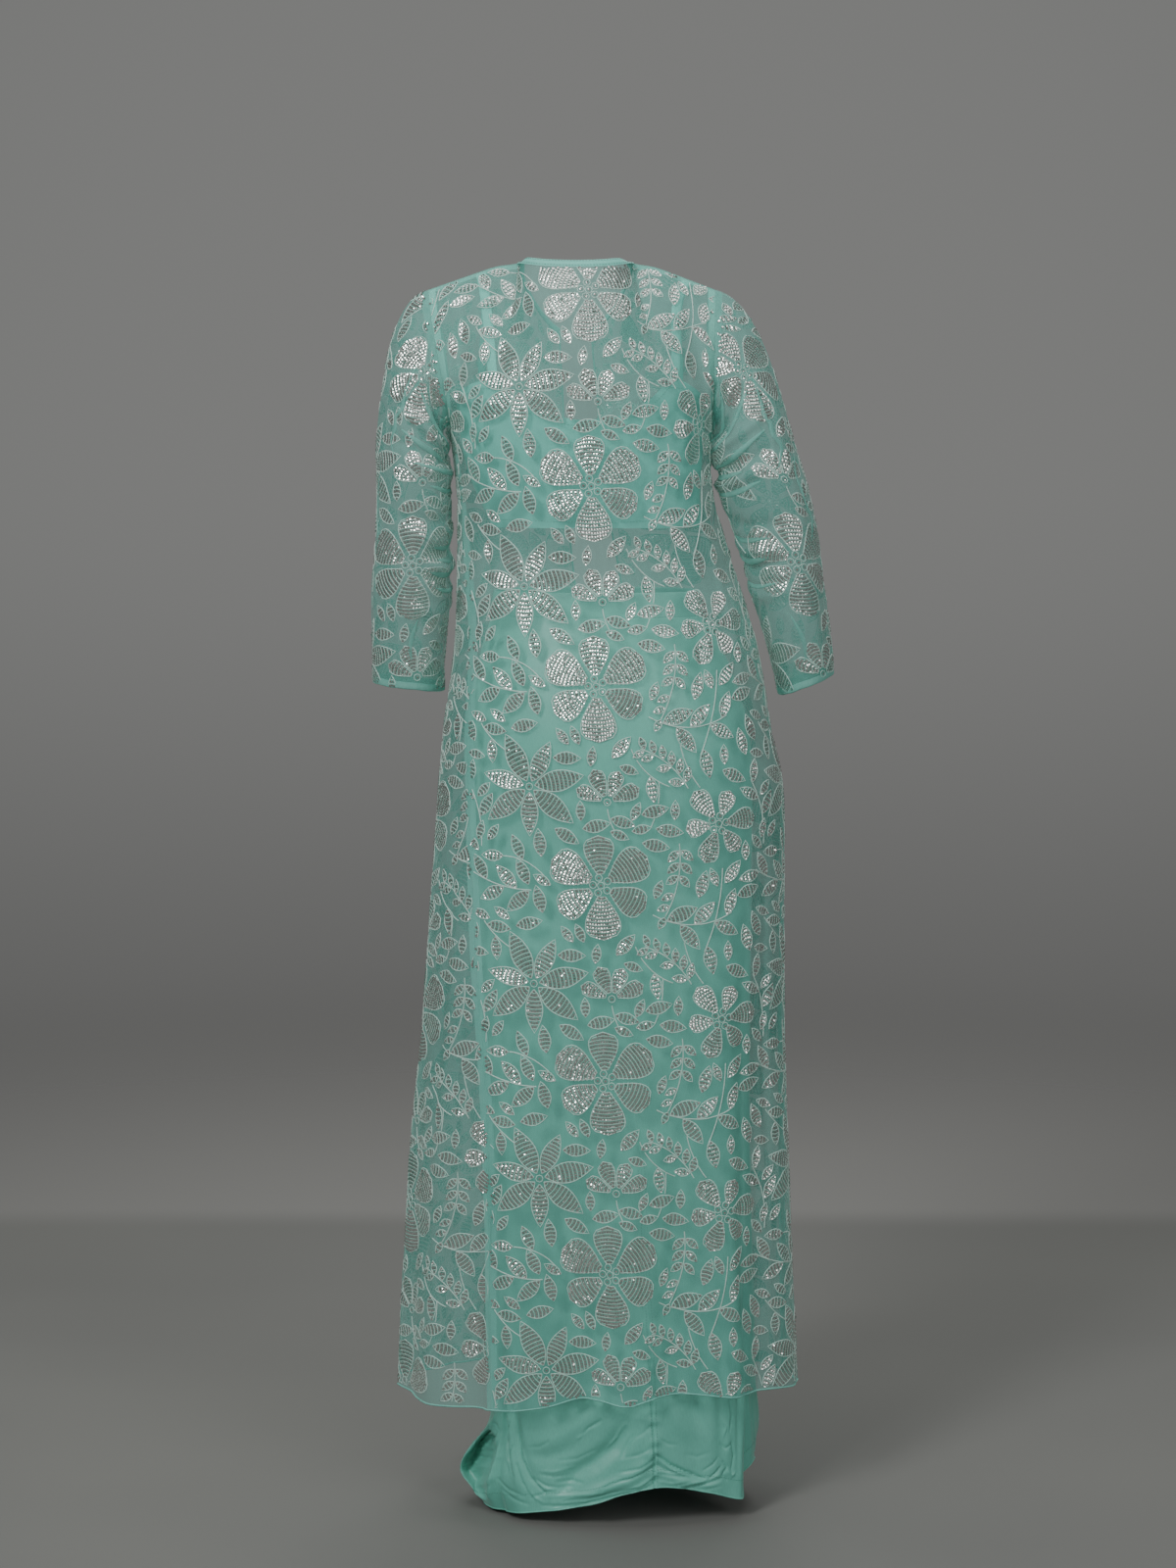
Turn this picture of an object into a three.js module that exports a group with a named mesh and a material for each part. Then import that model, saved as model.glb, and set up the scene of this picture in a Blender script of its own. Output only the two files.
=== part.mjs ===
import * as THREE from "three";

// A three-piece dress: a long sheer open-front jacket over a short strapped bodice
// and a straight floor-length skirt, hanging in the shape of the figure it is worn on.
// Millimetres. Heights are above the floor. +X is the wearer's right, +Y the way the
// wearer faces, +Z up. The group is lowered so that its origin lies at the shoulder line.

const SHOULDER_HEIGHT = 1520;
const SEAM_GAP = 0.36;

const JACKET_WALL = 1.2;
const BODICE_WALL = 1.4;
const SKIRT_WALL = 1.4;
const FOLDED_WALL = 2.0;

const JACKET_CORNER = 2.25;
const SKIRT_CORNER = 2.3;

const BACK_COLUMNS = 24;
const FRONT_COLUMNS = 12;
const SHOULDER_COLUMNS = 7;
const LOWER_ROWS = 15;
const UPPER_ROWS = 8;
const TOP_ROW = LOWER_ROWS + UPPER_ROWS;

const NECK_BINDING_WIDTH = 8;
const SLEEVE_HEM_DEPTH = 28;
const WAISTBAND_DEPTH = 30;
const STRAP_WIDTH = 12;

// Jacket below the underarm: half the width, how far its middle lies to the right,
// and how far it stands to the back and to the front.
const JACKET_RINGS = [
  { height: 1420, half: 168, right: 2, back: 106, front: 112 },
  { height: 1355, half: 160, right: 6, back: 105, front: 118 },
  { height: 1267, half: 155, right: 11, back: 103, front: 120 },
  { height: 1187, half: 166, right: 22, back: 101, front: 112 },
  { height: 1127, half: 176, right: 31, back: 108, front: 112 },
  { height: 1075, half: 185, right: 37, back: 116, front: 114 },
  { height: 973, half: 201, right: 39, back: 125, front: 118 },
  { height: 906, half: 211, right: 43, back: 127, front: 122 },
  { height: 760, half: 218, right: 39, back: 127, front: 128 },
  { height: 613, half: 224, right: 34, back: 127, front: 134 },
  { height: 464, half: 234, right: 29, back: 127, front: 140 },
  { height: 315, half: 240, right: 27, back: 127, front: 146 },
  { height: 150, half: 247, right: 26, back: 127, front: 150 },
];

// Side seams of the jacket, in degrees round from the centre back.
const JACKET_SEAMS = [
  { height: 1355, left: -86, right: 88 },
  { height: 1187, left: -66, right: 90 },
  { height: 906, left: -52, right: 94 },
  { height: 700, left: -43, right: 97 },
  { height: 464, left: -33, right: 99 },
  { height: 150, left: -28, right: 100 },
];

// Half the space between the two front edges.
const FRONT_OPENING = [
  { height: 1460, half: 20 },
  { height: 1355, half: 22 },
  { height: 900, half: 38 },
  { height: 150, half: 60 },
];

const JACKET_HEM = [
  { angle: -180, height: 140 },
  { angle: -120, height: 146 },
  { angle: -90, height: 156 },
  { angle: -60, height: 150 },
  { angle: -33, height: 150 },
  { angle: -13, height: 156 },
  { angle: -2, height: 168 },
  { angle: 6, height: 160 },
  { angle: 14, height: 168 },
  { angle: 25, height: 170 },
  { angle: 40, height: 164 },
  { angle: 60, height: 163 },
  { angle: 80, height: 158 },
  { angle: 100, height: 156 },
  { angle: 140, height: 146 },
  { angle: 180, height: 140 },
];

// Long soft folds: where each lies at the hem, how wide it is, how far it stands out
// (or dips in), and the height at which it has run out.
const JACKET_FOLDS = [
  { angle: -150, spread: 9, rise: 9, top: 980 },
  { angle: -122, spread: 8, rise: -8, top: 820 },
  { angle: -100, spread: 7, rise: 4, top: 900 },
  { angle: -72, spread: 7, rise: -7, top: 860 },
  { angle: -52, spread: 7, rise: 8, top: 1020 },
  { angle: -36, spread: 5, rise: -7, top: 780 },
  { angle: -21, spread: 6, rise: 7, top: 900 },
  { angle: -4, spread: 5, rise: -6, top: 640 },
  { angle: 7, spread: 5, rise: 7, top: 700 },
  { angle: 21, spread: 5, rise: -8, top: 960 },
  { angle: 37, spread: 6, rise: 8, top: 820 },
  { angle: 54, spread: 6, rise: -7, top: 1000 },
  { angle: 74, spread: 7, rise: 5, top: 900 },
  { angle: 104, spread: 8, rise: -7, top: 820 },
  { angle: 126, spread: 8, rise: 9, top: 960 },
  { angle: 148, spread: 7, rise: -7, top: 800 },
];

// The lowest part of the armhole is higher on the wearer's right.
const UNDERARM_HEIGHT = 1355;
const UNDERARM_TILT = 9;

const SHOULDERS = {
  left: { side: -1, tip: [-178, -2, 1508], neck: [-69, -14, 1545] },
  right: { side: 1, tip: [169, -2, 1508], neck: [69, -14, 1545] },
};
const NAPE = [0, -63, 1533];
const FRONT_NECK = { across: 20, forward: 84, height: 1458 };

// Sleeves, from the shoulder down: the middle of the sleeve to the side and to the
// front, half its width and half its depth, and how much its outer side is raised.
const LEFT_SLEEVE = [
  { height: 1290, side: -197, ahead: 2, half: 44, depth: 58, raised: 0 },
  { height: 1220, side: -198, ahead: 8, half: 46, depth: 57, raised: 0 },
  { height: 1148, side: -201, ahead: 16, half: 48, depth: 54, raised: 2 },
  { height: 1090, side: -205, ahead: 26, half: 45, depth: 51, raised: 4 },
  { height: 1052, side: -207, ahead: 34, half: 44, depth: 50, raised: 5 },
];
const LEFT_CUFF = { side: -207, ahead: 39, half: 44, depth: 49, raised: 5 };
const RIGHT_SLEEVE = [
  { height: 1272, side: 226, ahead: 2, half: 55, depth: 55, raised: 3 },
  { height: 1210, side: 246, ahead: 8, half: 49, depth: 56, raised: 7 },
  { height: 1147, side: 260, ahead: 16, half: 44, depth: 55, raised: 10 },
  { height: 1095, side: 273, ahead: 25, half: 39, depth: 54, raised: 12 },
  { height: 1055, side: 281, ahead: 33, half: 36, depth: 52, raised: 13 },
];
const RIGHT_CUFF = { side: 285, ahead: 38, half: 34, depth: 50, raised: 13 };

const BODICE_RINGS = [
  { height: 1420, half: 151, right: 5, back: 99, front: 96 },
  { height: 1355, half: 151, right: 7, back: 97, front: 108 },
  { height: 1300, half: 145, right: 10, back: 93, front: 110 },
  { height: 1260, half: 136, right: 17, back: 89, front: 103 },
  { height: 1222, half: 127, right: 25, back: 87, front: 97 },
];
const BODICE_HEM_HEIGHT = 1222;
const BODICE_TOP = [
  { angle: -180, height: 1352 },
  { angle: -150, height: 1364 },
  { angle: -132, height: 1396 },
  { angle: -124, height: 1396 },
  { angle: -106, height: 1380 },
  { angle: -90, height: 1374 },
  { angle: -72, height: 1386 },
  { angle: -58, height: 1394 },
  { angle: -45, height: 1398 },
  { angle: -37, height: 1398 },
  { angle: -32, height: 1385 },
  { angle: -22, height: 1368 },
  { angle: -11, height: 1357 },
  { angle: 2, height: 1350 },
  { angle: 16, height: 1356 },
  { angle: 29, height: 1373 },
  { angle: 37, height: 1388 },
  { angle: 42, height: 1398 },
  { angle: 50, height: 1398 },
  { angle: 62, height: 1390 },
  { angle: 76, height: 1380 },
  { angle: 90, height: 1372 },
  { angle: 106, height: 1380 },
  { angle: 124, height: 1398 },
  { angle: 132, height: 1398 },
  { angle: 150, height: 1364 },
  { angle: 180, height: 1352 },
];
// Columns stand close together under the ends of the straps.
const BODICE_BACK_ANGLES = [
  -89, -80, -70, -60, -52, -45, -37, -31, -22, -11, 2, 16, 27, 36, 42, 50, 60, 70, 80, 89,
];
const BODICE_FRONT_ANGLES = [
  89, 98, 107, 116, 124, 132, 140, 149, 160, 172, 188, 200, 211, 220, 228, 236, 244, 253, 262, 271,
];

// Straps: the angle on the bodice where each starts and ends, and where each lies
// on the jacket's back and front panel, as a share of the panel's columns.
const STRAPS = {
  left: { back: -41, backLow: 0.245, backHigh: 0.166, front: -128, frontLow: 0.49, frontHigh: 0.332 },
  right: { back: 46, backLow: 0.75, backHigh: 0.904, front: 128, frontLow: 0.476, frontHigh: 0.192 },
};
const STRAP_FIRST_ROW = 2;
const STRAP_CLEARANCE = 0.85;

const SKIRT_RINGS = [
  { height: 1145, half: 126, right: 26, back: 87, front: 96 },
  { height: 1115, half: 130, right: 27, back: 91, front: 98 },
  { height: 1050, half: 156, right: 34, back: 110, front: 104 },
  { height: 960, half: 174, right: 40, back: 124.2, front: 106 },
  { height: 800, half: 172, right: 44, back: 114, front: 106 },
  { height: 500, half: 166, right: 50, back: 106, front: 108 },
  { height: 126, half: 165, right: 59, back: 106, front: 112 },
  { height: 0, half: 163, right: 61, back: 108, front: 116 },
];

const SKIRT_SEAMS = [
  { height: 1115, left: -88, back: 0, right: 88 },
  { height: 800, left: -78, back: 4, right: 78 },
  { height: 126, left: -62, back: 10, right: 61 },
  { height: 0, left: -62, back: 10, right: 61 },
];

const SKIRT_HEM = [
  { angle: -180, height: 0 },
  { angle: -110, height: 0 },
  { angle: -88, height: 2 },
  { angle: -62, height: 5 },
  { angle: -40, height: 13 },
  { angle: -12, height: 28 },
  { angle: 10, height: 50 },
  { angle: 36, height: 38 },
  { angle: 61, height: 23 },
  { angle: 67, height: 44 },
  { angle: 76, height: 58 },
  { angle: 92, height: 54 },
  { angle: 115, height: 18 },
  { angle: 136, height: 0 },
  { angle: 180, height: 0 },
];

const SKIRT_FOLDS = [
  { angle: -150, spread: 9, rise: 6, top: 700 },
  { angle: -118, spread: 8, rise: -6, top: 520 },
  { angle: -64, spread: 4, rise: -5, top: 330 },
  { angle: -48, spread: 7, rise: 4, top: 420 },
  { angle: -20, spread: 8, rise: -4, top: 300 },
  { angle: 6, spread: 5, rise: 3, top: 380 },
  { angle: 30, spread: 8, rise: -4, top: 300 },
  { angle: 56, spread: 5, rise: 6, top: 520 },
  { angle: 68, spread: 4, rise: -8, top: 420 },
  { angle: 96, spread: 8, rise: 3, top: 500 },
  { angle: 124, spread: 9, rise: -6, top: 560 },
  { angle: 152, spread: 8, rise: 6, top: 700 },
];

// The skirt's left side buckles out where it meets the floor.
const PUDDLE = { angle: -90, spread: 26, height: 42, reach: 40, rise: 40 };

// ---- small helpers ----

const radians = THREE.MathUtils.degToRad;
const mix = THREE.MathUtils.lerp;
const smooth = THREE.MathUtils.smoothstep;

function vector(list) {
  return new THREE.Vector3(list[0], list[1], list[2]);
}

// A value between the rows of a table, on a smooth curve through them.
function valueAt(rows, by, at, name) {
  const sorted = rows[0][by] < rows[rows.length - 1][by] ? rows : [...rows].reverse();
  const last = sorted.length - 1;
  const x = Math.min(Math.max(at, sorted[0][by]), sorted[last][by]);
  let i = 0;
  while (i < last - 1 && x > sorted[i + 1][by]) {
    i += 1;
  }
  const slope = (k) => {
    const low = sorted[Math.max(k - 1, 0)];
    const high = sorted[Math.min(k + 1, last)];
    return (high[name] - low[name]) / (high[by] - low[by]);
  };
  const from = sorted[i];
  const to = sorted[i + 1];
  const span = to[by] - from[by];
  const s = (x - from[by]) / span;
  const rise = to[name] - from[name];
  const a = slope(i) * span - rise;
  const b = rise - slope(i + 1) * span;
  return from[name] + rise * s + s * (1 - s) * (a * (1 - s) + b * s);
}

function turnedBy(angle, from) {
  return ((((angle - from) % 360) + 540) % 360) - 180;
}

function foldsAt(folds, angle, height) {
  let out = 0;
  for (const fold of folds) {
    const away = turnedBy(angle, fold.angle) / fold.spread;
    const fade = 1 - smooth(height, 140, fold.top);
    out += fold.rise * Math.exp(-away * away) * fade;
  }
  return out;
}

// A curve from one point to another that leaves and arrives in the given directions.
function hermite(from, leave, to, arrive, s) {
  const s2 = s * s;
  const s3 = s2 * s;
  return new THREE.Vector3()
    .addScaledVector(from, 2 * s3 - 3 * s2 + 1)
    .addScaledVector(leave, s3 - 2 * s2 + s)
    .addScaledVector(to, 3 * s2 - 2 * s3)
    .addScaledVector(arrive, s3 - s2);
}

// A point on a rounded ring: angle 0 is the centre back, 90 the wearer's right.
function ringPoint(rings, corner, height, angle, out) {
  const s = Math.sin(radians(angle));
  const c = Math.cos(radians(angle));
  const across = Math.sign(s) * Math.abs(s) ** (2 / corner);
  const along = Math.sign(c) * Math.abs(c) ** (2 / corner);
  const depth = valueAt(rings, "height", height, c > 0 ? "back" : "front");
  const x = valueAt(rings, "height", height, "right")
    + valueAt(rings, "height", height, "half") * across;
  return new THREE.Vector3(x + out * s, -depth * along - out * c, height);
}

// ---- sheets of points, and the walls made from them ----

function sheetOf(rows, columns, pointAt) {
  const points = [];
  for (let r = 0; r <= rows; r += 1) {
    const line = [];
    for (let c = 0; c <= columns; c += 1) {
      line.push(pointAt(r / rows, c / columns, r, c));
    }
    points.push(line);
  }
  return { points, normals: [], closed: false };
}

function ringSheet(rows, columns, pointAt) {
  const sheet = sheetOf(rows, columns, pointAt);
  sheet.points.forEach((line) => line.pop());
  sheet.closed = true;
  return sheet;
}

// Outward directions; "outside" is +1 or -1, for the way the columns run.
function addNormals(sheet, outside) {
  const { points, closed } = sheet;
  const rows = points.length;
  const columns = points[0].length;
  sheet.normals = points.map((line, r) => line.map((point, c) => {
    const up = points[Math.min(r + 1, rows - 1)][c].clone()
      .sub(points[Math.max(r - 1, 0)][c]);
    const next = closed ? (c + 1) % columns : Math.min(c + 1, columns - 1);
    const before = closed ? (c + columns - 1) % columns : Math.max(c - 1, 0);
    const along = line[next].clone().sub(line[before]);
    return along.cross(up).normalize().multiplyScalar(outside);
  }));
  return sheet;
}

function edgeOf(sheet, name, from, to) {
  const rows = sheet.points.length;
  const columns = sheet.points[0].length;
  const cells = [];
  const step = to >= from ? 1 : -1;
  for (let k = from; k !== to + step; k += step) {
    if (name === "first column") cells.push([k, 0, k, 1]);
    if (name === "last column") cells.push([k, columns - 1, k, columns - 2]);
    if (name === "bottom row") cells.push([0, (k + columns) % columns, 1, (k + columns) % columns]);
    if (name === "top row") {
      cells.push([rows - 1, (k + columns) % columns, rows - 2, (k + columns) % columns]);
    }
  }
  return { sheet, cells };
}

// Two edges that meet in a seam stand a gap apart, and the walls behind them lean
// away from each other. "apart" points from the second edge to the first.
function joinEdges(one, two, apart) {
  one.cells.forEach(([r1, c1, in1, ic1], i) => {
    const [r2, c2, in2, ic2] = two.cells[i];
    const a = one.sheet.points[r1][c1];
    const b = two.sheet.points[r2][c2];
    const na = one.sheet.normals[r1][c1];
    const nb = two.sheet.normals[r2][c2];
    let way = apart;
    if (!way) {
      way = one.sheet.points[in1][ic1].clone().sub(a).normalize()
        .sub(two.sheet.points[in2][ic2].clone().sub(b).normalize());
      const shared = na.clone().add(nb).normalize();
      way.addScaledVector(shared, -way.dot(shared)).normalize();
    }
    a.addScaledVector(way, SEAM_GAP / 2);
    b.addScaledVector(way, -SEAM_GAP / 2);
    na.addScaledVector(way, -Math.max(na.dot(way), 0)).normalize();
    nb.addScaledVector(way, -Math.min(nb.dot(way), 0)).normalize();
  });
}

function wallOf(sheet, thickness) {
  const { points, normals, closed } = sheet;
  const rows = points.length;
  const columns = points[0].length;
  const positions = [];
  points.forEach((line) => line.forEach((p) => positions.push(p.x, p.y, p.z)));
  points.forEach((line, r) => line.forEach((p, c) => {
    const q = p.clone().addScaledVector(normals[r][c], -thickness);
    positions.push(q.x, q.y, q.z);
  }));
  const inside = rows * columns;
  const at = (r, c) => r * columns + (c % columns);
  const index = [];
  const quad = (a, b, c, d) => index.push(a, b, c, a, c, d);
  const spans = closed ? columns : columns - 1;
  for (let r = 0; r < rows - 1; r += 1) {
    for (let c = 0; c < spans; c += 1) {
      quad(at(r, c), at(r, c + 1), at(r + 1, c + 1), at(r + 1, c));
      quad(inside + at(r, c), inside + at(r + 1, c), inside + at(r + 1, c + 1), inside + at(r, c + 1));
    }
  }
  for (let c = 0; c < spans; c += 1) {
    quad(at(0, c + 1), at(0, c), inside + at(0, c), inside + at(0, c + 1));
    const r = rows - 1;
    quad(at(r, c), at(r, c + 1), inside + at(r, c + 1), inside + at(r, c));
  }
  if (!closed) {
    for (let r = 0; r < rows - 1; r += 1) {
      quad(at(r, 0), at(r + 1, 0), inside + at(r + 1, 0), inside + at(r, 0));
      const c = columns - 1;
      quad(at(r + 1, c), at(r, c), inside + at(r, c), inside + at(r + 1, c));
    }
  }
  return solidFrom(positions, index);
}

// Turns the faces round if they would otherwise look inwards.
function solidFrom(positions, index) {
  let volume = 0;
  const corner = (i) => new THREE.Vector3().fromArray(positions, 3 * index[i]);
  for (let i = 0; i < index.length; i += 3) {
    volume += corner(i).dot(corner(i + 1).cross(corner(i + 2)));
  }
  if (volume < 0) {
    index.reverse();
  }
  const geometry = new THREE.BufferGeometry();
  geometry.setAttribute("position", new THREE.Float32BufferAttribute(positions, 3));
  geometry.setIndex(index);
  geometry.computeVertexNormals();
  return geometry;
}

// ---- the jacket ----

function seamAngle(side, height) {
  return valueAt(JACKET_SEAMS, "height", height, side);
}

// The angle of a front edge, from half the space between the two edges.
function frontEdgeAngle(side, height) {
  const half = valueAt(FRONT_OPENING, "height", height, "half");
  const share = half / valueAt(JACKET_RINGS, "height", height, "half");
  const angle = THREE.MathUtils.radToDeg(Math.asin(share ** (JACKET_CORNER / 2)));
  return side === "right" ? 180 - angle : -180 + angle;
}

function hemHeight(angle) {
  return valueAt(JACKET_HEM, "angle", turnedBy(angle, 0), "height");
}

function underarmHeight(angle) {
  return UNDERARM_HEIGHT + UNDERARM_TILT * Math.sin(radians(angle));
}

// A point below the underarm; "angleAt" gives the column's angle at a height.
function lowerJacket(angleAt, s) {
  let height = mix(150, UNDERARM_HEIGHT, s);
  for (let k = 0; k < 3; k += 1) {
    const angle = angleAt(height);
    height = mix(hemHeight(angle), underarmHeight(angle), s);
  }
  const angle = angleAt(height);
  const out = foldsAt(JACKET_FOLDS, angle, height);
  return ringPoint(JACKET_RINGS, JACKET_CORNER, height, angle, out);
}

function backAngle(across) {
  return (height) => mix(seamAngle("left", height), seamAngle("right", height), across);
}

function frontAngle(side, across) {
  return (height) => mix(seamAngle(side, height), frontEdgeAngle(side, height), across);
}

// The back's upper edge, from the left shoulder tip to the right one.
function backTop(across) {
  const seam = SHOULDER_COLUMNS / BACK_COLUMNS;
  const { left, right } = SHOULDERS;
  if (across <= seam) {
    return vector(left.tip).lerp(vector(left.neck), across / seam);
  }
  if (across >= 1 - seam) {
    return vector(right.tip).lerp(vector(right.neck), (1 - across) / seam);
  }
  const turn = ((across - seam) / (1 - 2 * seam)) * Math.PI;
  const x = left.neck[0] * Math.cos(turn);
  const dip = Math.sin(turn) ** 0.8;
  return new THREE.Vector3(x, mix(left.neck[1], NAPE[1], dip), mix(left.neck[2], NAPE[2], dip));
}

// A front's upper edge, from the shoulder tip over the neck point to the front edge.
function frontTop(side, across) {
  const seam = SHOULDER_COLUMNS / FRONT_COLUMNS;
  const { tip, neck, side: way } = SHOULDERS[side];
  if (across <= seam) {
    return vector(tip).lerp(vector(neck), across / seam);
  }
  const end = new THREE.Vector3(
    way * FRONT_NECK.across,
    FRONT_NECK.forward,
    FRONT_NECK.height,
  );
  const leave = new THREE.Vector3(way * 14, 96, -52);
  const arrive = new THREE.Vector3(-way * 78, 22, -44);
  return hermite(vector(neck), leave, end, arrive, (across - seam) / (1 - seam));
}

// A column above the underarm. Near the armhole it leaves towards the back or front
// and arrives over the shoulder; in the middle it rises straight to the neck.
function upperJacket(start, top, facing, edge, overShoulder, s) {
  const rise = start.distanceTo(top);
  const middle = new THREE.Vector3(0, facing * 0.1, 1).multiplyScalar(rise);
  const round = new THREE.Vector3(0, facing * 1.15, 0.42).multiplyScalar(rise);
  const leave = middle.lerp(round, edge);
  const over = new THREE.Vector3(0, -facing * 0.85, 0.6).multiplyScalar(rise);
  const neck = new THREE.Vector3(0, -facing * 0.4, 0.95).multiplyScalar(rise * 0.9);
  return hermite(start, leave, top, neck.lerp(over, overShoulder), s);
}

function backPoint(row, across) {
  const angleAt = backAngle(across);
  if (row <= LOWER_ROWS) {
    return lowerJacket(angleAt, row / LOWER_ROWS);
  }
  const start = lowerJacket(angleAt, 1);
  const away = Math.abs(2 * across - 1);
  const edge = smooth(away, 0.72, 1);
  const over = smooth(away, 0.3, 0.7);
  return upperJacket(start, backTop(across), -1, edge, over, (row - LOWER_ROWS) / UPPER_ROWS);
}

function frontPoint(side, row, across) {
  const angleAt = frontAngle(side, across);
  if (row <= LOWER_ROWS) {
    return lowerJacket(angleAt, row / LOWER_ROWS);
  }
  const start = lowerJacket(angleAt, 1);
  const edge = 1 - smooth(across, 0, 0.3);
  const over = 1 - smooth(across, 0.4, 0.85);
  const top = frontTop(side, across);
  return upperJacket(start, top, 1, edge, over, (row - LOWER_ROWS) / UPPER_ROWS);
}

function frontSheet(side) {
  return sheetOf(TOP_ROW, FRONT_COLUMNS, (s, across, row) => frontPoint(side, row, across));
}

const back = sheetOf(TOP_ROW, BACK_COLUMNS, (s, across, row) => backPoint(row, across));
const frontLeft = frontSheet("left");
const frontRight = frontSheet("right");
addNormals(back, 1);
addNormals(frontLeft, -1);
addNormals(frontRight, 1);

// The armhole as a ring: up the back from the underarm, and down the front.
function armhole(side) {
  const column = side === "left" ? 0 : BACK_COLUMNS;
  const front = side === "left" ? frontLeft : frontRight;
  const ring = [];
  for (let k = 0; k <= UPPER_ROWS; k += 1) {
    ring.push(back.points[LOWER_ROWS + k][column].clone());
  }
  for (let k = UPPER_ROWS - 1; k > 0; k -= 1) {
    ring.push(front.points[LOWER_ROWS + k][0].clone());
  }
  return ring;
}

function sleeveSection(section, way, turn) {
  const inward = Math.cos(turn);
  return new THREE.Vector3(
    section.side - way * section.half * inward,
    section.ahead - section.depth * Math.sin(turn),
    section.height - section.raised * inward,
  );
}

// Rows from the armhole to the first section, then down the arm.
const CAP_ROWS = 6;
const ARM_ROWS = 7;

function sleevePoint(side, sections, ring, row, k) {
  const way = SHOULDERS[side].side;
  const turn = (k / ring.length) * 2 * Math.PI;
  if (row > CAP_ROWS) {
    const first = sections[0].height;
    const last = sections[sections.length - 1].height;
    const height = mix(first, last, (row - CAP_ROWS) / ARM_ROWS);
    const section = { height };
    for (const name of ["side", "ahead", "half", "depth", "raised"]) {
      section[name] = valueAt(sections, "height", height, name);
    }
    return sleeveSection(section, way, turn);
  }
  const start = ring[k];
  const end = sleeveSection(sections[0], way, turn);
  const fall = start.distanceTo(end);
  const outer = (1 - Math.cos(turn)) / 2;
  const leave = new THREE.Vector3(way * mix(0.5, 0.72, outer), 0, -mix(0.8, 0.16, outer))
    .multiplyScalar(fall);
  const slant = (sections[1].side - sections[0].side)
    / (sections[0].height - sections[1].height);
  const arrive = new THREE.Vector3(slant, 0.05, -1).multiplyScalar(fall * 0.95);
  return hermite(start, leave, end, arrive, row / CAP_ROWS);
}

function sleeveSheet(side, sections) {
  const ring = armhole(side);
  const sheet = ringSheet(CAP_ROWS + ARM_ROWS, ring.length, (s, turn, row, k) => (
    sleevePoint(side, sections, ring, row, k % ring.length)
  ));
  return addNormals(sheet, side === "left" ? 1 : -1);
}

// The turned-up hem of a sleeve, below the sleeve itself.
function sleeveHem(side, sections, cuff) {
  const last = sections[sections.length - 1];
  const way = SHOULDERS[side].side;
  const sheet = ringSheet(2, 2 * UPPER_ROWS, (s, turn) => {
    const section = { height: last.height - SLEEVE_HEM_DEPTH * s };
    for (const name of ["side", "ahead", "half", "depth", "raised"]) {
      section[name] = mix(last[name], cuff[name], s);
    }
    return sleeveSection(section, way, turn * 2 * Math.PI);
  });
  return addNormals(sheet, side === "left" ? 1 : -1);
}

const sleeveLeft = sleeveSheet("left", LEFT_SLEEVE);
const sleeveRight = sleeveSheet("right", RIGHT_SLEEVE);
const hemLeft = sleeveHem("left", LEFT_SLEEVE, LEFT_CUFF);
const hemRight = sleeveHem("right", RIGHT_SLEEVE, RIGHT_CUFF);

// The neck binding carries on from the panels' neck edges.
function bindingSheet() {
  const columns = BACK_COLUMNS - 2 * SHOULDER_COLUMNS;
  const list = [];
  for (let c = FRONT_COLUMNS; c > SHOULDER_COLUMNS; c -= 1) {
    list.push([frontLeft, c]);
  }
  for (let c = 0; c <= columns; c += 1) {
    list.push([back, SHOULDER_COLUMNS + c]);
  }
  for (let c = SHOULDER_COLUMNS + 1; c <= FRONT_COLUMNS; c += 1) {
    list.push([frontRight, c]);
  }
  const sheet = sheetOf(1, list.length - 1, (s, across, row, k) => {
    const [panel, c] = list[k];
    const edge = panel.points[TOP_ROW][c];
    const along = edge.clone().sub(panel.points[TOP_ROW - 1][c]).normalize();
    return edge.clone().addScaledVector(along, NECK_BINDING_WIDTH * s);
  });
  addNormals(sheet, 1);
  return { sheet, list };
}

const binding = bindingSheet();

// Side seams, shoulder seams, armhole seams, sleeve hems and the neck binding.
joinEdges(
  edgeOf(back, "first column", 0, LOWER_ROWS),
  edgeOf(frontLeft, "first column", 0, LOWER_ROWS),
);
joinEdges(
  edgeOf(back, "last column", 0, LOWER_ROWS),
  edgeOf(frontRight, "first column", 0, LOWER_ROWS),
);
joinEdges(
  edgeOf(back, "top row", 0, SHOULDER_COLUMNS),
  edgeOf(frontLeft, "top row", 0, SHOULDER_COLUMNS),
);
joinEdges(
  edgeOf(back, "top row", BACK_COLUMNS, BACK_COLUMNS - SHOULDER_COLUMNS),
  edgeOf(frontRight, "top row", 0, SHOULDER_COLUMNS),
);

function joinSleeve(sleeve, column, front, side) {
  const ring = 2 * UPPER_ROWS;
  const sideways = new THREE.Vector3(side, 0, 0);
  joinEdges(
    edgeOf(sleeve, "bottom row", 0, UPPER_ROWS),
    edgeOf(back, column, LOWER_ROWS, TOP_ROW),
    sideways,
  );
  joinEdges(
    edgeOf(sleeve, "bottom row", ring, UPPER_ROWS),
    edgeOf(front, "first column", LOWER_ROWS, TOP_ROW),
    sideways,
  );
}

joinSleeve(sleeveLeft, "first column", frontLeft, -1);
joinSleeve(sleeveRight, "last column", frontRight, 1);

const LAST_ROUND = 2 * UPPER_ROWS - 1;
for (const [sleeve, hem] of [[sleeveLeft, hemLeft], [sleeveRight, hemRight]]) {
  joinEdges(edgeOf(sleeve, "top row", 0, LAST_ROUND), edgeOf(hem, "bottom row", 0, LAST_ROUND));
}

binding.list.forEach(([panel, c], k) => {
  const panelEdge = { sheet: panel, cells: [[TOP_ROW, c, TOP_ROW - 1, c]] };
  const bindingEdge = { sheet: binding.sheet, cells: [[0, k, 1, k]] };
  joinEdges(panelEdge, bindingEdge);
});

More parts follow.
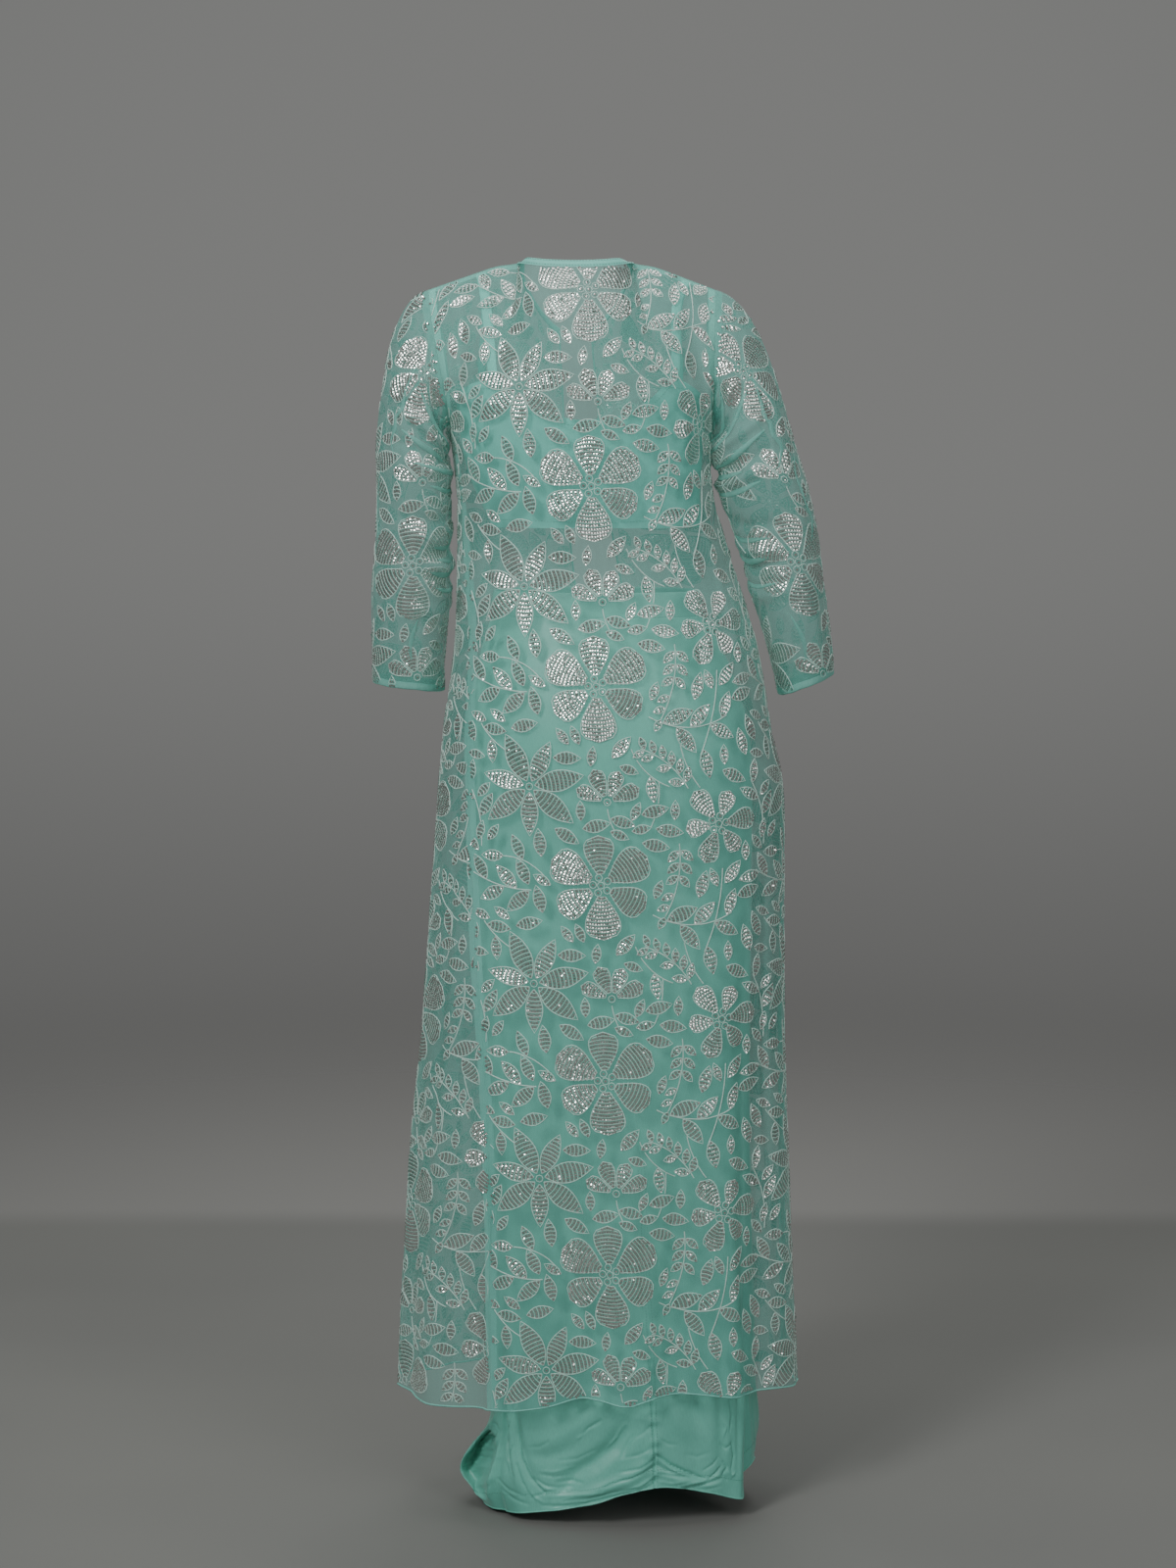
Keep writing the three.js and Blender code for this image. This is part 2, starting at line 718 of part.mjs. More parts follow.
// ---- the bodice ----

function bodicePoint(angle, s) {
  const top = valueAt(BODICE_TOP, "angle", turnedBy(angle, 0), "height");
  const height = mix(BODICE_HEM_HEIGHT, top, s);
  return ringPoint(BODICE_RINGS, JACKET_CORNER, height, angle, 0);
}

const BODICE_ROWS = 6;

function bodiceSheet(angles) {
  return sheetOf(BODICE_ROWS, angles.length - 1, (s, across, row, k) => (
    bodicePoint(angles[k], s)
  ));
}

const bodiceBack = bodiceSheet(BODICE_BACK_ANGLES);
const bodiceFront = bodiceSheet(BODICE_FRONT_ANGLES);
addNormals(bodiceBack, 1);
addNormals(bodiceFront, 1);
joinEdges(
  edgeOf(bodiceBack, "last column", 0, BODICE_ROWS),
  edgeOf(bodiceFront, "first column", 0, BODICE_ROWS),
);
joinEdges(
  edgeOf(bodiceBack, "first column", 0, BODICE_ROWS),
  edgeOf(bodiceFront, "last column", 0, BODICE_ROWS),
);

// A point on the inner side of a jacket panel, between its columns.
function underPanel(panel, row, column, depth) {
  const c = Math.min(Math.floor(column), panel.points[0].length - 2);
  const share = column - c;
  const p = panel.points[row][c].clone().lerp(panel.points[row][c + 1], share);
  const n = panel.normals[row][c].clone().lerp(panel.normals[row][c + 1], share).normalize();
  const along = panel.points[row][c + 1].clone().sub(panel.points[row][c]).normalize();
  return { point: p.addScaledVector(n, -depth), along, out: n };
}

// A strap rises from the bodice's back, lies just under the jacket over the shoulder
// and comes down to the bodice's front.
function strapSheet(side) {
  const strap = STRAPS[side];
  const front = side === "left" ? frontLeft : frontRight;
  const first = LOWER_ROWS + STRAP_FIRST_ROW;
  const span = TOP_ROW - first;
  const list = [];
  for (const [panel, columns, bottomAt, topAt, angle] of [
    [back, BACK_COLUMNS, strap.backLow, strap.backHigh, strap.back],
    [front, FRONT_COLUMNS, strap.frontLow, strap.frontHigh, strap.front],
  ]) {
    const part = [];
    for (let row = first; row <= TOP_ROW; row += 1) {
      const share = (row - first) / span;
      const column = columns * mix(bottomAt, topAt, share);
      part.push(underPanel(panel, row, column, JACKET_WALL + STRAP_CLEARANCE));
    }
    const end = bodicePoint(angle - 4, 1).lerp(bodicePoint(angle + 4, 1), 0.5);
    end.z += 1.5 * SEAM_GAP;
    const shift = end.sub(part[0].point);
    part.forEach((place, k) => {
      place.point.addScaledVector(shift, 1 - smooth(k / span, 0, 0.75));
    });
    list.push(part);
  }
  const [up, down] = list;
  const top = up[span];
  top.point.add(down[span].point).multiplyScalar(0.5);
  top.point.z -= STRAP_CLEARANCE;
  top.out.add(down[span].out).normalize();
  down.pop();
  down.reverse();
  down.forEach((place) => place.along.negate());
  const way = Math.sign(up[0].along.x);
  const path = [...up, ...down];
  path.forEach((place) => {
    if (Math.sign(place.along.x) !== way) place.along.negate();
  });
  path[0].along.setZ(0);
  path[path.length - 1].along.setZ(0);
  const sheet = sheetOf(path.length - 1, 1, (s, across, row, c) => (
    path[row].point.clone().addScaledVector(path[row].along, (c - 0.5) * STRAP_WIDTH)
  ));
  sheet.normals = path.map((place) => [place.out.clone(), place.out.clone()]);
  return sheet;
}

const strapLeft = strapSheet("left");
const strapRight = strapSheet("right");

// ---- the skirt ----

const SKIRT_ROWS = 16;

function skirtSeam(name, height) {
  return valueAt(SKIRT_SEAMS, "height", height, name);
}

function skirtPoint(angleAt, s) {
  const top = SKIRT_RINGS[0].height - WAISTBAND_DEPTH;
  let height = mix(20, top, s);
  for (let k = 0; k < 3; k += 1) {
    const hem = valueAt(SKIRT_HEM, "angle", turnedBy(angleAt(height), 0), "height");
    height = mix(hem, top, s);
  }
  const angle = angleAt(height);
  const away = turnedBy(angle, PUDDLE.angle) / PUDDLE.spread;
  const above = (height - PUDDLE.height) / PUDDLE.reach;
  const puddle = PUDDLE.rise * Math.exp(-away * away) * Math.exp(-above * above);
  const out = foldsAt(SKIRT_FOLDS, angle, height) + puddle;
  return ringPoint(SKIRT_RINGS, SKIRT_CORNER, height, angle, out);
}

function skirtPanel(columns, fromName, toName, turn) {
  return sheetOf(SKIRT_ROWS, columns, (s, across) => {
    const angleAt = (height) => mix(
      skirtSeam(fromName, height),
      skirtSeam(toName, height) + turn,
      across,
    );
    return skirtPoint(angleAt, s ** 1.35);
  });
}

const skirtBackLeft = addNormals(skirtPanel(8, "left", "back", 0), 1);
const skirtBackRight = addNormals(skirtPanel(8, "back", "right", 0), 1);
const skirtFront = addNormals(skirtPanel(20, "right", "left", 360), 1);
joinEdges(
  edgeOf(skirtBackLeft, "last column", 0, SKIRT_ROWS),
  edgeOf(skirtBackRight, "first column", 0, SKIRT_ROWS),
);
joinEdges(
  edgeOf(skirtBackRight, "last column", 0, SKIRT_ROWS),
  edgeOf(skirtFront, "first column", 0, SKIRT_ROWS),
);
joinEdges(
  edgeOf(skirtFront, "last column", 0, SKIRT_ROWS),
  edgeOf(skirtBackLeft, "first column", 0, SKIRT_ROWS),
);

const waistband = addNormals(ringSheet(2, 36, (s, turn) => {
  const top = SKIRT_RINGS[0].height;
  const height = mix(top - WAISTBAND_DEPTH + SEAM_GAP, top, s);
  return ringPoint(SKIRT_RINGS, SKIRT_CORNER, height, mix(-180, 180, turn), 0);
}), 1);

// ---- the group ----

const georgette = new THREE.MeshStandardMaterial({ color: 0x6db5a3, roughness: 0.75, metalness: 0 });
const bodiceCloth = new THREE.MeshStandardMaterial({ color: 0x64ab9b, roughness: 0.6, metalness: 0 });
const skirtCloth = new THREE.MeshStandardMaterial({ color: 0x569a89, roughness: 0.45, metalness: 0 });

const dress = new THREE.Group();
dress.position.z = -SHOULDER_HEIGHT;

function addPiece(name, sheet, thickness, material) {
  const mesh = new THREE.Mesh(wallOf(sheet, thickness), material);
  mesh.name = name;
  dress.add(mesh);
}

addPiece("jacket_back", back, JACKET_WALL, georgette);
addPiece("jacket_front_left", frontLeft, JACKET_WALL, georgette);
addPiece("jacket_front_right", frontRight, JACKET_WALL, georgette);
addPiece("jacket_sleeve_left", sleeveLeft, JACKET_WALL, georgette);
addPiece("jacket_sleeve_right", sleeveRight, JACKET_WALL, georgette);
addPiece("sleeve_hem_left", hemLeft, FOLDED_WALL, georgette);
addPiece("sleeve_hem_right", hemRight, FOLDED_WALL, georgette);
addPiece("neck_binding", binding.sheet, FOLDED_WALL, bodiceCloth);
addPiece("bodice_back", bodiceBack, BODICE_WALL, bodiceCloth);
addPiece("bodice_front", bodiceFront, BODICE_WALL, bodiceCloth);
addPiece("bodice_strap_left", strapLeft, BODICE_WALL, bodiceCloth);
addPiece("bodice_strap_right", strapRight, BODICE_WALL, bodiceCloth);
addPiece("skirt_back_left", skirtBackLeft, SKIRT_WALL, skirtCloth);
addPiece("skirt_back_right", skirtBackRight, SKIRT_WALL, skirtCloth);
addPiece("skirt_front", skirtFront, SKIRT_WALL, skirtCloth);
addPiece("skirt_waistband", waistband, FOLDED_WALL, skirtCloth);

export default dress;
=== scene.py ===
import math

import bpy
import numpy as np
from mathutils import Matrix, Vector


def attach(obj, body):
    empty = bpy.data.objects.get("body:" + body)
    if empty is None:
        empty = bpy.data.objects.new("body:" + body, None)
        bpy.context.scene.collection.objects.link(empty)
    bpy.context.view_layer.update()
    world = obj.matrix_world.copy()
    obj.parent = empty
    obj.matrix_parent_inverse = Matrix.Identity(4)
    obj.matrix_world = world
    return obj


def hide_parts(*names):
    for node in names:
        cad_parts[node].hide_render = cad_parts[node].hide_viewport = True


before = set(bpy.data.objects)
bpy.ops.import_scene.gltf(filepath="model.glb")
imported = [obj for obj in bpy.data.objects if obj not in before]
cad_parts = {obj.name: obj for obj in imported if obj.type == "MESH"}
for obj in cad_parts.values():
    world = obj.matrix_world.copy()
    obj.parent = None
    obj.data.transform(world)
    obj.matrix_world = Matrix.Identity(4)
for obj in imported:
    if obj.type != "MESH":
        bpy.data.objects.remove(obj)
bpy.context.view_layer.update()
SHOULDER = 1520.0
random = np.random.default_rng(11)

# ---------------------------------------------------------------- the garment's form
# The same named tables as the solids: millimetres, heights above the floor,
# angle 0 at the centre back and 90 on the wearer's right.

# Exponents of the rings' rounded corners, and shares of a panel's top in the shoulder seam.
JACKET_CORNER = 2.25
SKIRT_CORNER = 2.3
BACK_SHOULDER = 7 / 24
FRONT_SHOULDER = 7 / 12

# height, half width, middle to the right, depth to the back, depth to the front
JACKET_RINGS = [
    (1420, 168, 2, 106, 112),
    (1355, 160, 6, 105, 118),
    (1267, 155, 11, 103, 120),
    (1187, 166, 22, 101, 112),
    (1127, 176, 31, 108, 112),
    (1075, 185, 37, 116, 114),
    (973, 201, 39, 125, 118),
    (906, 211, 43, 127, 122),
    (760, 218, 39, 127, 128),
    (613, 224, 34, 127, 134),
    (464, 234, 29, 127, 140),
    (315, 240, 27, 127, 146),
    (150, 247, 26, 127, 150),
]
# height, left seam's angle, right seam's angle
JACKET_SEAMS = [
    (1355, -86, 88),
    (1187, -66, 90),
    (906, -52, 94),
    (700, -43, 97),
    (464, -33, 99),
    (150, -28, 100),
]
FRONT_OPENING = [(1460, 20), (1355, 22), (900, 38), (150, 60)]
JACKET_HEM = [
    (-180, 140), (-120, 146), (-90, 156), (-60, 150), (-33, 150), (-13, 156),
    (-2, 168), (6, 160), (14, 168), (25, 170), (40, 164), (60, 163), (80, 158),
    (100, 156), (140, 146), (180, 140),
]
# angle, spread, rise, height where it has run out
JACKET_FOLDS = [
    (-150, 9, 9, 980), (-122, 8, -8, 820), (-100, 7, 4, 900), (-72, 7, -7, 860),
    (-52, 7, 8, 1020), (-36, 5, -7, 780), (-21, 6, 7, 900), (-4, 5, -6, 640),
    (7, 5, 7, 700), (21, 5, -8, 960), (37, 6, 8, 820), (54, 6, -7, 1000),
    (74, 7, 5, 900), (104, 8, -7, 820), (126, 8, 9, 960), (148, 7, -7, 800),
]
UNDERARM, UNDERARM_TILT = 1355.0, 9.0
SIDES = {
    "left": (-1, (-178, -2, 1508), (-69, -14, 1545)),
    "right": (1, (169, -2, 1508), (69, -14, 1545)),
}
NAPE = (0, -63, 1533)
FRONT_NECK = (20, 84, 1458)
FRONT_NECK_LEAVE, FRONT_NECK_ARRIVE = (14.0, 96, -52), (-78.0, 22, -44)
NECK_DIP = 0.8
FOLD_FOOT, LAP_FOOT = 140, 150
STREAK_GAIN, SLEEVE_GAIN = 1.5, 1.5

# height, to the side, ahead, half width, half depth, raised outer side
SLEEVES = {
    "left": [
        (1290, -197, 2, 44, 58, 0), (1220, -198, 8, 46, 57, 0),
        (1148, -201, 16, 48, 54, 2), (1090, -205, 26, 45, 51, 4),
        (1052, -207, 34, 44, 50, 5),
    ],
    "right": [
        (1272, 226, 2, 55, 55, 3), (1210, 246, 8, 49, 56, 7),
        (1147, 260, 16, 44, 55, 10), (1095, 273, 25, 39, 54, 12),
        (1055, 281, 33, 36, 52, 13),
    ],
}
CUFFS = {"left": (-207, 39, 44, 49, 5), "right": (285, 38, 34, 50, 13)}
CUFF_DEPTH = 28.0

BODICE_RINGS = [
    (1420, 151, 5, 99, 96), (1355, 151, 7, 97, 108), (1300, 145, 10, 93, 110),
    (1260, 136, 17, 89, 103), (1222, 127, 25, 87, 97),
]
BODICE_HEM = 1222.0
BODICE_TOP = [
    (-180, 1352), (-150, 1364), (-132, 1396), (-124, 1396), (-106, 1380),
    (-90, 1374), (-72, 1386), (-58, 1394), (-45, 1398), (-37, 1398),
    (-32, 1385), (-22, 1368), (-11, 1357), (2, 1350), (16, 1356), (29, 1373),
    (37, 1388), (42, 1398), (50, 1398), (62, 1390), (76, 1380), (90, 1372),
    (106, 1380), (124, 1398), (132, 1398), (150, 1364), (180, 1352),
]
# back angle, share of the back panel low and high, front angle, shares of the front panel
STRAPS = {
    "left": (-41, 0.245, 0.166, -128, 0.49, 0.332),
    "right": (46, 0.75, 0.904, 128, 0.476, 0.192),
}

SKIRT_RINGS = [
    (1145, 126, 26, 87, 96), (1115, 130, 27, 91, 98), (1050, 156, 34, 110, 104),
    (960, 174, 40, 124.2, 106), (800, 172, 44, 114, 106), (500, 166, 50, 106, 108),
    (126, 165, 59, 106, 112), (0, 163, 61, 108, 116),
]
# height, left seam, centre back seam, right seam
SKIRT_SEAMS = [(1115, -88, 0, 88), (800, -78, 4, 78), (126, -62, 10, 61), (0, -62, 10, 61)]
SKIRT_HEM = [
    (-180, 0), (-110, 0), (-88, 2), (-62, 5), (-40, 13), (-12, 28), (10, 50),
    (36, 38), (61, 23), (67, 44), (76, 58), (92, 54), (115, 18), (136, 0), (180, 0),
]
SKIRT_FOLDS = [
    (-150, 9, 6, 700), (-118, 8, -6, 520), (-64, 4, -5, 330), (-48, 7, 4, 420),
    (-20, 8, -4, 300), (6, 5, 3, 380), (30, 8, -4, 300), (56, 5, 6, 520),
    (68, 4, -8, 420), (96, 8, 3, 500), (124, 9, -6, 560), (152, 8, 6, 700),
]


def value(rows, at, column):
    """A smooth curve through one column of a table, by the table's first column."""
    table = np.array(rows, float)
    table = table[np.argsort(table[:, 0])]
    xs, ys = table[:, 0], table[:, column]
    last = len(xs) - 1
    x = np.clip(at, xs[0], xs[-1])
    i = np.clip(np.searchsorted(xs, x, side="left") - 1, 0, last - 1)
    low = np.maximum(np.arange(last + 1) - 1, 0)
    high = np.minimum(np.arange(last + 1) + 1, last)
    slope = (ys[high] - ys[low]) / (xs[high] - xs[low])
    span = xs[i + 1] - xs[i]
    s = (x - xs[i]) / span
    rise = ys[i + 1] - ys[i]
    a = slope[i] * span - rise
    b = rise - slope[i + 1] * span
    return ys[i] + rise * s + s * (1 - s) * (a * (1 - s) + b * s)


def mix(a, b, s):
    return a + (b - a) * s


def smooth(x, low, high):
    t = np.clip((x - low) / (high - low), 0, 1)
    return t * t * (3 - 2 * t)


def unit(v):
    return v / np.maximum(np.linalg.norm(v, axis=-1, keepdims=True), 1e-9)


def run_along(path):
    """Distance along a line of points."""
    return np.concatenate([[0], np.cumsum(np.linalg.norm(np.diff(path, axis=0), axis=1))])


def run_across(points):
    """Distance along each row of a grid of points."""
    step = np.linalg.norm(np.diff(points, axis=1), axis=2)
    return np.concatenate([np.zeros((len(points), 1)), np.cumsum(step, 1)], 1)


def run_up(points):
    """Distance along each column of a grid of points."""
    rise = np.linalg.norm(np.diff(points, axis=0), axis=2)
    return np.concatenate([np.zeros((1, points.shape[1])), np.cumsum(rise, 0)], 0)


def turned(angle, start=0.0):
    return (angle - start + 540.0) % 360.0 - 180.0


def folds_at(folds, angle, height):
    """Soft folds that deepen from a height of their own down to the hem."""
    out = 0.0
    for at, spread, rise, top in folds:
        away = turned(angle, at) / spread
        out = out + rise * np.exp(-away * away) * (1 - smooth(height, FOLD_FOOT, top))
    return out


def ring_point(rings, corner, height, angle, out=0.0):
    """A point on a ring at an angle, moved outward by out."""
    s, c = np.sin(np.radians(angle)), np.cos(np.radians(angle))
    across = np.sign(s) * np.abs(s) ** (2 / corner)
    along = np.sign(c) * np.abs(c) ** (2 / corner)
    depth = np.where(c > 0, value(rings, height, 3), value(rings, height, 4))
    x = value(rings, height, 2) + value(rings, height, 1) * across
    return np.stack([x + out * s, -depth * along - out * c, height + 0 * x], -1)


def hermite(start, leave, end, arrive, s):
    """A curve between two points with its directions at both."""
    s = np.asarray(s)[..., None]
    s2, s3 = s * s, s * s * s
    return (
        start * (2 * s3 - 3 * s2 + 1) + leave * (s3 - 2 * s2 + s)
        + end * (3 * s2 - 2 * s3) + arrive * (s3 - s2)
    )


def crease_field(u, v, lines, period=None, sharp=False):
    """Creases: a width, a depth and the places of a path, in millimetres."""
    out = np.zeros(np.broadcast(u, v).shape)
    shifts = [0.0] if period is None else [-period, 0.0, period]
    for width, depth, *places in lines:
        path = list(zip(places[::2], places[1::2]))
        for shift in shifts:
            near = np.full(out.shape, 1e9)
            along = np.zeros(out.shape)
            count = len(path) - 1
            for k in range(count):
                ax, ay = path[k][0] + shift, path[k][1]
                bx, by = path[k + 1][0] + shift, path[k + 1][1]
                dx, dy = bx - ax, by - ay
                t = np.clip(((u - ax) * dx + (v - ay) * dy) / (dx * dx + dy * dy), 0, 1)
                d = np.hypot(u - ax - t * dx, v - ay - t * dy)
                along = np.where(d < near, (k + t) / count, along)
                near = np.minimum(near, d)
            body = np.sin(math.pi * np.clip(0.12 + 0.82 * along, 0, 1)) ** 0.6
            out += depth * body * np.exp(-(near / width) ** (1 if sharp else 2))
    return out


# ---------------------------------------------------------------- the jacket

# Laps at the hem, where one side of a fold drops sharply behind the other:
# angle, sharp side, soft side, rise, height where it has run out.
JACKET_LAPS = [
    (-1.2, 0.5, 6.0, 5.0, 300), (13.5, -0.8, 5.0, 4.0, 420), (-30, 0.8, 6.0, 4.0, 560),
    (41, -0.8, 7.0, 4.0, 480), (-84, 0.9, 7.0, 5.0, 620), (88, -1.0, 7.0, 5.0, 520),
    (-136, 0.8, 8.0, 5.0, 640), (137, -0.8, 8.0, 5.0, 560),
]
# Narrow soft folds that run up and down: angle, width, depth, lowest and highest point.
JACKET_STREAKS = [
    (-26, 1.6, -1.6, 430, 930), (-17, 1.4, 1.2, 380, 700), (-12, 1.2, -1.3, 150, 600),
    (-9, 1.5, 1.1, 620, 1080), (2, 1.2, -1.0, 500, 900), (4, 1.3, 1.3, 150, 420),
    (10, 1.2, -1.5, 150, 520), (17, 1.3, 1.2, 260, 700), (26, 1.6, -1.4, 420, 880),
    (31, 1.4, 1.5, 150, 640), (45, 1.6, -1.8, 200, 760), (50, 1.4, 1.4, 500, 1010),
    (60, 1.8, -2.0, 330, 900), (67, 1.5, 1.6, 150, 560), (80, 1.8, -1.8, 400, 940),
    (95, 1.8, 1.8, 200, 820), (112, 2.0, -2.0, 150, 700), (133, 2.0, 1.8, 300, 900),
    (-44, 1.6, 1.6, 200, 780), (-59, 1.8, -1.9, 320, 980), (-66, 1.5, 1.5, 150, 600),
    (-79, 1.8, 1.7, 420, 1000), (-92, 1.8, -2.0, 180, 780), (-110, 2.0, 1.8, 260, 900),
    (-130, 2.0, -1.9, 150, 720), (-142, 2.0, 1.5, 420, 1040), (158, 2.0, -1.7, 240, 900),
    (-5, 2.0, -1.0, 880, 1240), (14, 2.2, 1.2, 860, 1200), (-20, 2.2, 1.0, 900, 1180),
    (34, 2.4, -1.3, 900, 1230), (57, 2.4, 1.3, 960, 1260), (-48, 2.6, -1.4, 980, 1280),
    (-70, 2.6, 1.3, 1000, 1270), (75, 2.6, -1.2, 1000, 1250),
]


def jacket_detail(angle, height):
    out = 0.0 * (angle + height)
    for at, sharp, soft, rise, top in JACKET_LAPS:
        away = turned(angle, at) * np.sign(sharp)
        steep = np.exp(-np.maximum(-away, 0) / abs(sharp)) * np.exp(-np.maximum(away, 0) / soft)
        out = out + rise * steep * (1 - smooth(height, LAP_FOOT, top))
    for at, width, depth, low, high in JACKET_STREAKS:
        wander = 0.7 * np.sin(height / 90.0 + at)
        away = (turned(angle, at) - wander) / width
        middle, reach = (low + high) / 2, (high - low) / 2
        body = np.clip(1 - ((height - middle) / reach) ** 2, 0, 1)
        out = out + STREAK_GAIN * depth * body * np.exp(-away * away)
    return out


def hem_height(angle):
    return value(JACKET_HEM, turned(angle), 1)


def front_edge(side, height):
    share = value(FRONT_OPENING, height, 1) / value(JACKET_RINGS, height, 1)
    angle = np.degrees(np.arcsin(share ** (JACKET_CORNER / 2)))
    return 180 - angle if side == "right" else -180 + angle


def seam_angle(side, height):
    return value(JACKET_SEAMS, height, 1 if side == "left" else 2)


def lower_jacket(angle_at, s):
    """The jacket from the hem to the underarm; the angles depend on the height."""
    height = mix(150.0, UNDERARM, s)
    for _ in range(4):
        angle = angle_at(height)
        under = UNDERARM + UNDERARM_TILT * np.sin(np.radians(angle))
        height = mix(hem_height(angle), under, s)
    angle = angle_at(height)
    out = folds_at(JACKET_FOLDS, angle, height) + jacket_detail(angle, height)
    return ring_point(JACKET_RINGS, JACKET_CORNER, height, angle, out)


def back_top(across):
    (_, tip1, neck1), (_, tip2, neck2) = SIDES["left"], SIDES["right"]
    tip1, neck1, tip2, neck2 = (np.array(p, float) for p in (tip1, neck1, tip2, neck2))
    seam = BACK_SHOULDER
    a = across[..., None]
    first = tip1 + (neck1 - tip1) * np.clip(a / seam, 0, 1)
    last = tip2 + (neck2 - tip2) * np.clip((1 - a) / seam, 0, 1)
    turn = np.clip((across - seam) / (1 - 2 * seam), 0, 1) * math.pi
    dip = np.abs(np.sin(turn)) ** NECK_DIP
    arc = np.stack(
        [neck1[0] * np.cos(turn), mix(neck1[1], NAPE[1], dip), mix(neck1[2], NAPE[2], dip)], -1
    )
    return np.where(a <= seam, first, np.where(a >= 1 - seam, last, arc))


def front_top(side, across):
    way, tip, neck = SIDES[side]
    tip, neck = np.array(tip, float), np.array(neck, float)
    seam = FRONT_SHOULDER
    first = tip + (neck - tip) * np.clip(across / seam, 0, 1)[..., None]
    mirror = np.array([way, 1, 1])
    leave, arrive = mirror * FRONT_NECK_LEAVE, mirror * FRONT_NECK_ARRIVE
    end = mirror * FRONT_NECK
    curve = hermite(neck, leave, end, arrive, np.clip((across - seam) / (1 - seam), 0, 1))
    return np.where(across[..., None] <= seam, first, curve)


def upper_jacket(start, top, facing, edge, over, s):
    """From the underarm to the top edge; edge and over say how near an armhole or shoulder is."""
    rise = np.linalg.norm(top - start, axis=-1)[..., None]
    edge, over = edge[..., None], over[..., None]
    middle = np.array([0, facing * 0.1, 1.0]) * rise
    around = np.array([0, facing * 1.15, 0.42]) * rise
    shoulder = np.array([0, -facing * 0.85, 0.6]) * rise
    neck = np.array([0, -facing * 0.4, 0.95]) * rise * 0.9
    return hermite(start, mix(middle, around, edge), top, mix(neck, shoulder, over), s)


# Rows of the grids below and above the underarm, and columns of the back and of a front.
LOW_ROWS, HIGH_ROWS = 225, 84
BACK_COLUMNS, FRONT_COLUMNS = 96, 72
BEND_REACH, BEND_PASSES = 12, 60


def soften(points, row, reach, columns):
    """Eases the bend across a row, but for the columns at the two sides."""
    away = np.abs(np.arange(points.shape[0]) - row)[:, None, None]
    keep = np.minimum(np.arange(points.shape[1]), np.arange(points.shape[1])[::-1])
    weight = smooth(keep, columns[0], columns[1])[None, :, None] * np.exp(-((away / reach) ** 2))
    eased = points.copy()
    for _ in range(BEND_PASSES):
        inner = (eased[:-2] + 2 * eased[1:-1] + eased[2:]) / 4
        eased[1:-1] = mix(eased[1:-1], inner, weight[1:-1])
    return eased


def jacket_panel(name):
    columns = BACK_COLUMNS if name == "back" else FRONT_COLUMNS
    across = np.linspace(0, 1, columns + 1)[None, :]
    s = np.linspace(0, 1, LOW_ROWS + 1)[:, None]
    if name == "back":
        def angle_at(height):
            return mix(seam_angle("left", height), seam_angle("right", height), across)
    else:
        def angle_at(height):
            return mix(seam_angle(name, height), front_edge(name, height), across)
    low = lower_jacket(angle_at, s)
    start = low[-1][None]
    t = np.linspace(0, 1, HIGH_ROWS + 1)[1:, None]
    if name == "back":
        top = back_top(across[0])[None]
        away = np.abs(2 * across - 1)
        high = upper_jacket(start, top, -1, smooth(away, 0.72, 1), smooth(away, 0.3, 0.7), t)
    else:
        top = front_top(name, across[0])[None]
        edge, over = 1 - smooth(across, 0, 0.3), 1 - smooth(across, 0.4, 0.85)
        high = upper_jacket(start, top, 1, edge, over, t)
    return soften(np.concatenate([low, high]), LOW_ROWS, BEND_REACH, (1, 7))


def normals_of(points, closed=False):
    """Outward directions of a grid of points whose columns run towards +X at the back."""
    up = np.gradient(points, axis=0)
    if closed:
        along = np.roll(points, -1, 1) - np.roll(points, 1, 1)
    else:
        along = np.gradient(points, axis=1)
    return unit(np.cross(along, up))


# Creases near the armholes and across the shoulder blades, by share across and height.
UPPER_CREASES = {
    "back": [
        (7, -2.6, 22, 1362, 50, 1330, 76, 1292), (6, 2.4, 16, 1352, 36, 1310, 48, 1268),
        (8, 1.8, 20, 1372, 62, 1372, 100, 1360), (6, -1.6, 18, 1390, 50, 1402, 86, 1402),
        (7, -2.4, 322, 1360, 296, 1334, 268, 1300), (6, 2.2, 328, 1350, 310, 1306, 300, 1262),
        (8, 1.6, 318, 1376, 280, 1380, 240, 1370), (6, -1.5, 322, 1396, 292, 1410, 262, 1412),
        (10, 1.4, 150, 1500, 160, 1440, 158, 1380), (9, -1.3, 196, 1500, 190, 1450, 196, 1392),
        (9, -1.2, 110, 1470, 120, 1420, 118, 1360), (9, 1.2, 236, 1476, 232, 1420, 236, 1366),
        (10, -1.3, 90, 1240, 130, 1226, 176, 1230), (10, 1.3, 200, 1218, 250, 1214, 290, 1228),
    ],
    "front": [
        (7, -2.6, 22, 1362, 54, 1336, 84, 1300), (6, 2.2, 16, 1350, 34, 1308, 44, 1262),
        (8, 1.8, 20, 1376, 64, 1380, 104, 1372), (9, -1.5, 120, 1460, 126, 1400, 122, 1340),
        (9, 1.3, 90, 1480, 96, 1420, 92, 1370), (10, -1.4, 60, 1240, 100, 1226, 140, 1236),
    ],
}


def crumple_top(points, name, outward):
    """Adds the creases of the upper part, fading out at the panel's edges."""
    rows, columns = points.shape[:2]
    u, v = run_across(points), points[..., 2]
    lines = UPPER_CREASES["back" if name == "back" else "front"]
    edge = np.minimum(np.arange(columns), np.arange(columns)[::-1])[None, :]
    top = (rows - 1 - np.arange(rows))[:, None]
    fade = smooth(edge, 0, 6) * smooth(top, 0, 5)
    out = crease_field(u, v, lines) * fade
    return points + normals_of(points) * outward * out[..., None]


NECK_EASE, NECK_EASE_REACH = 5.5, 20.0


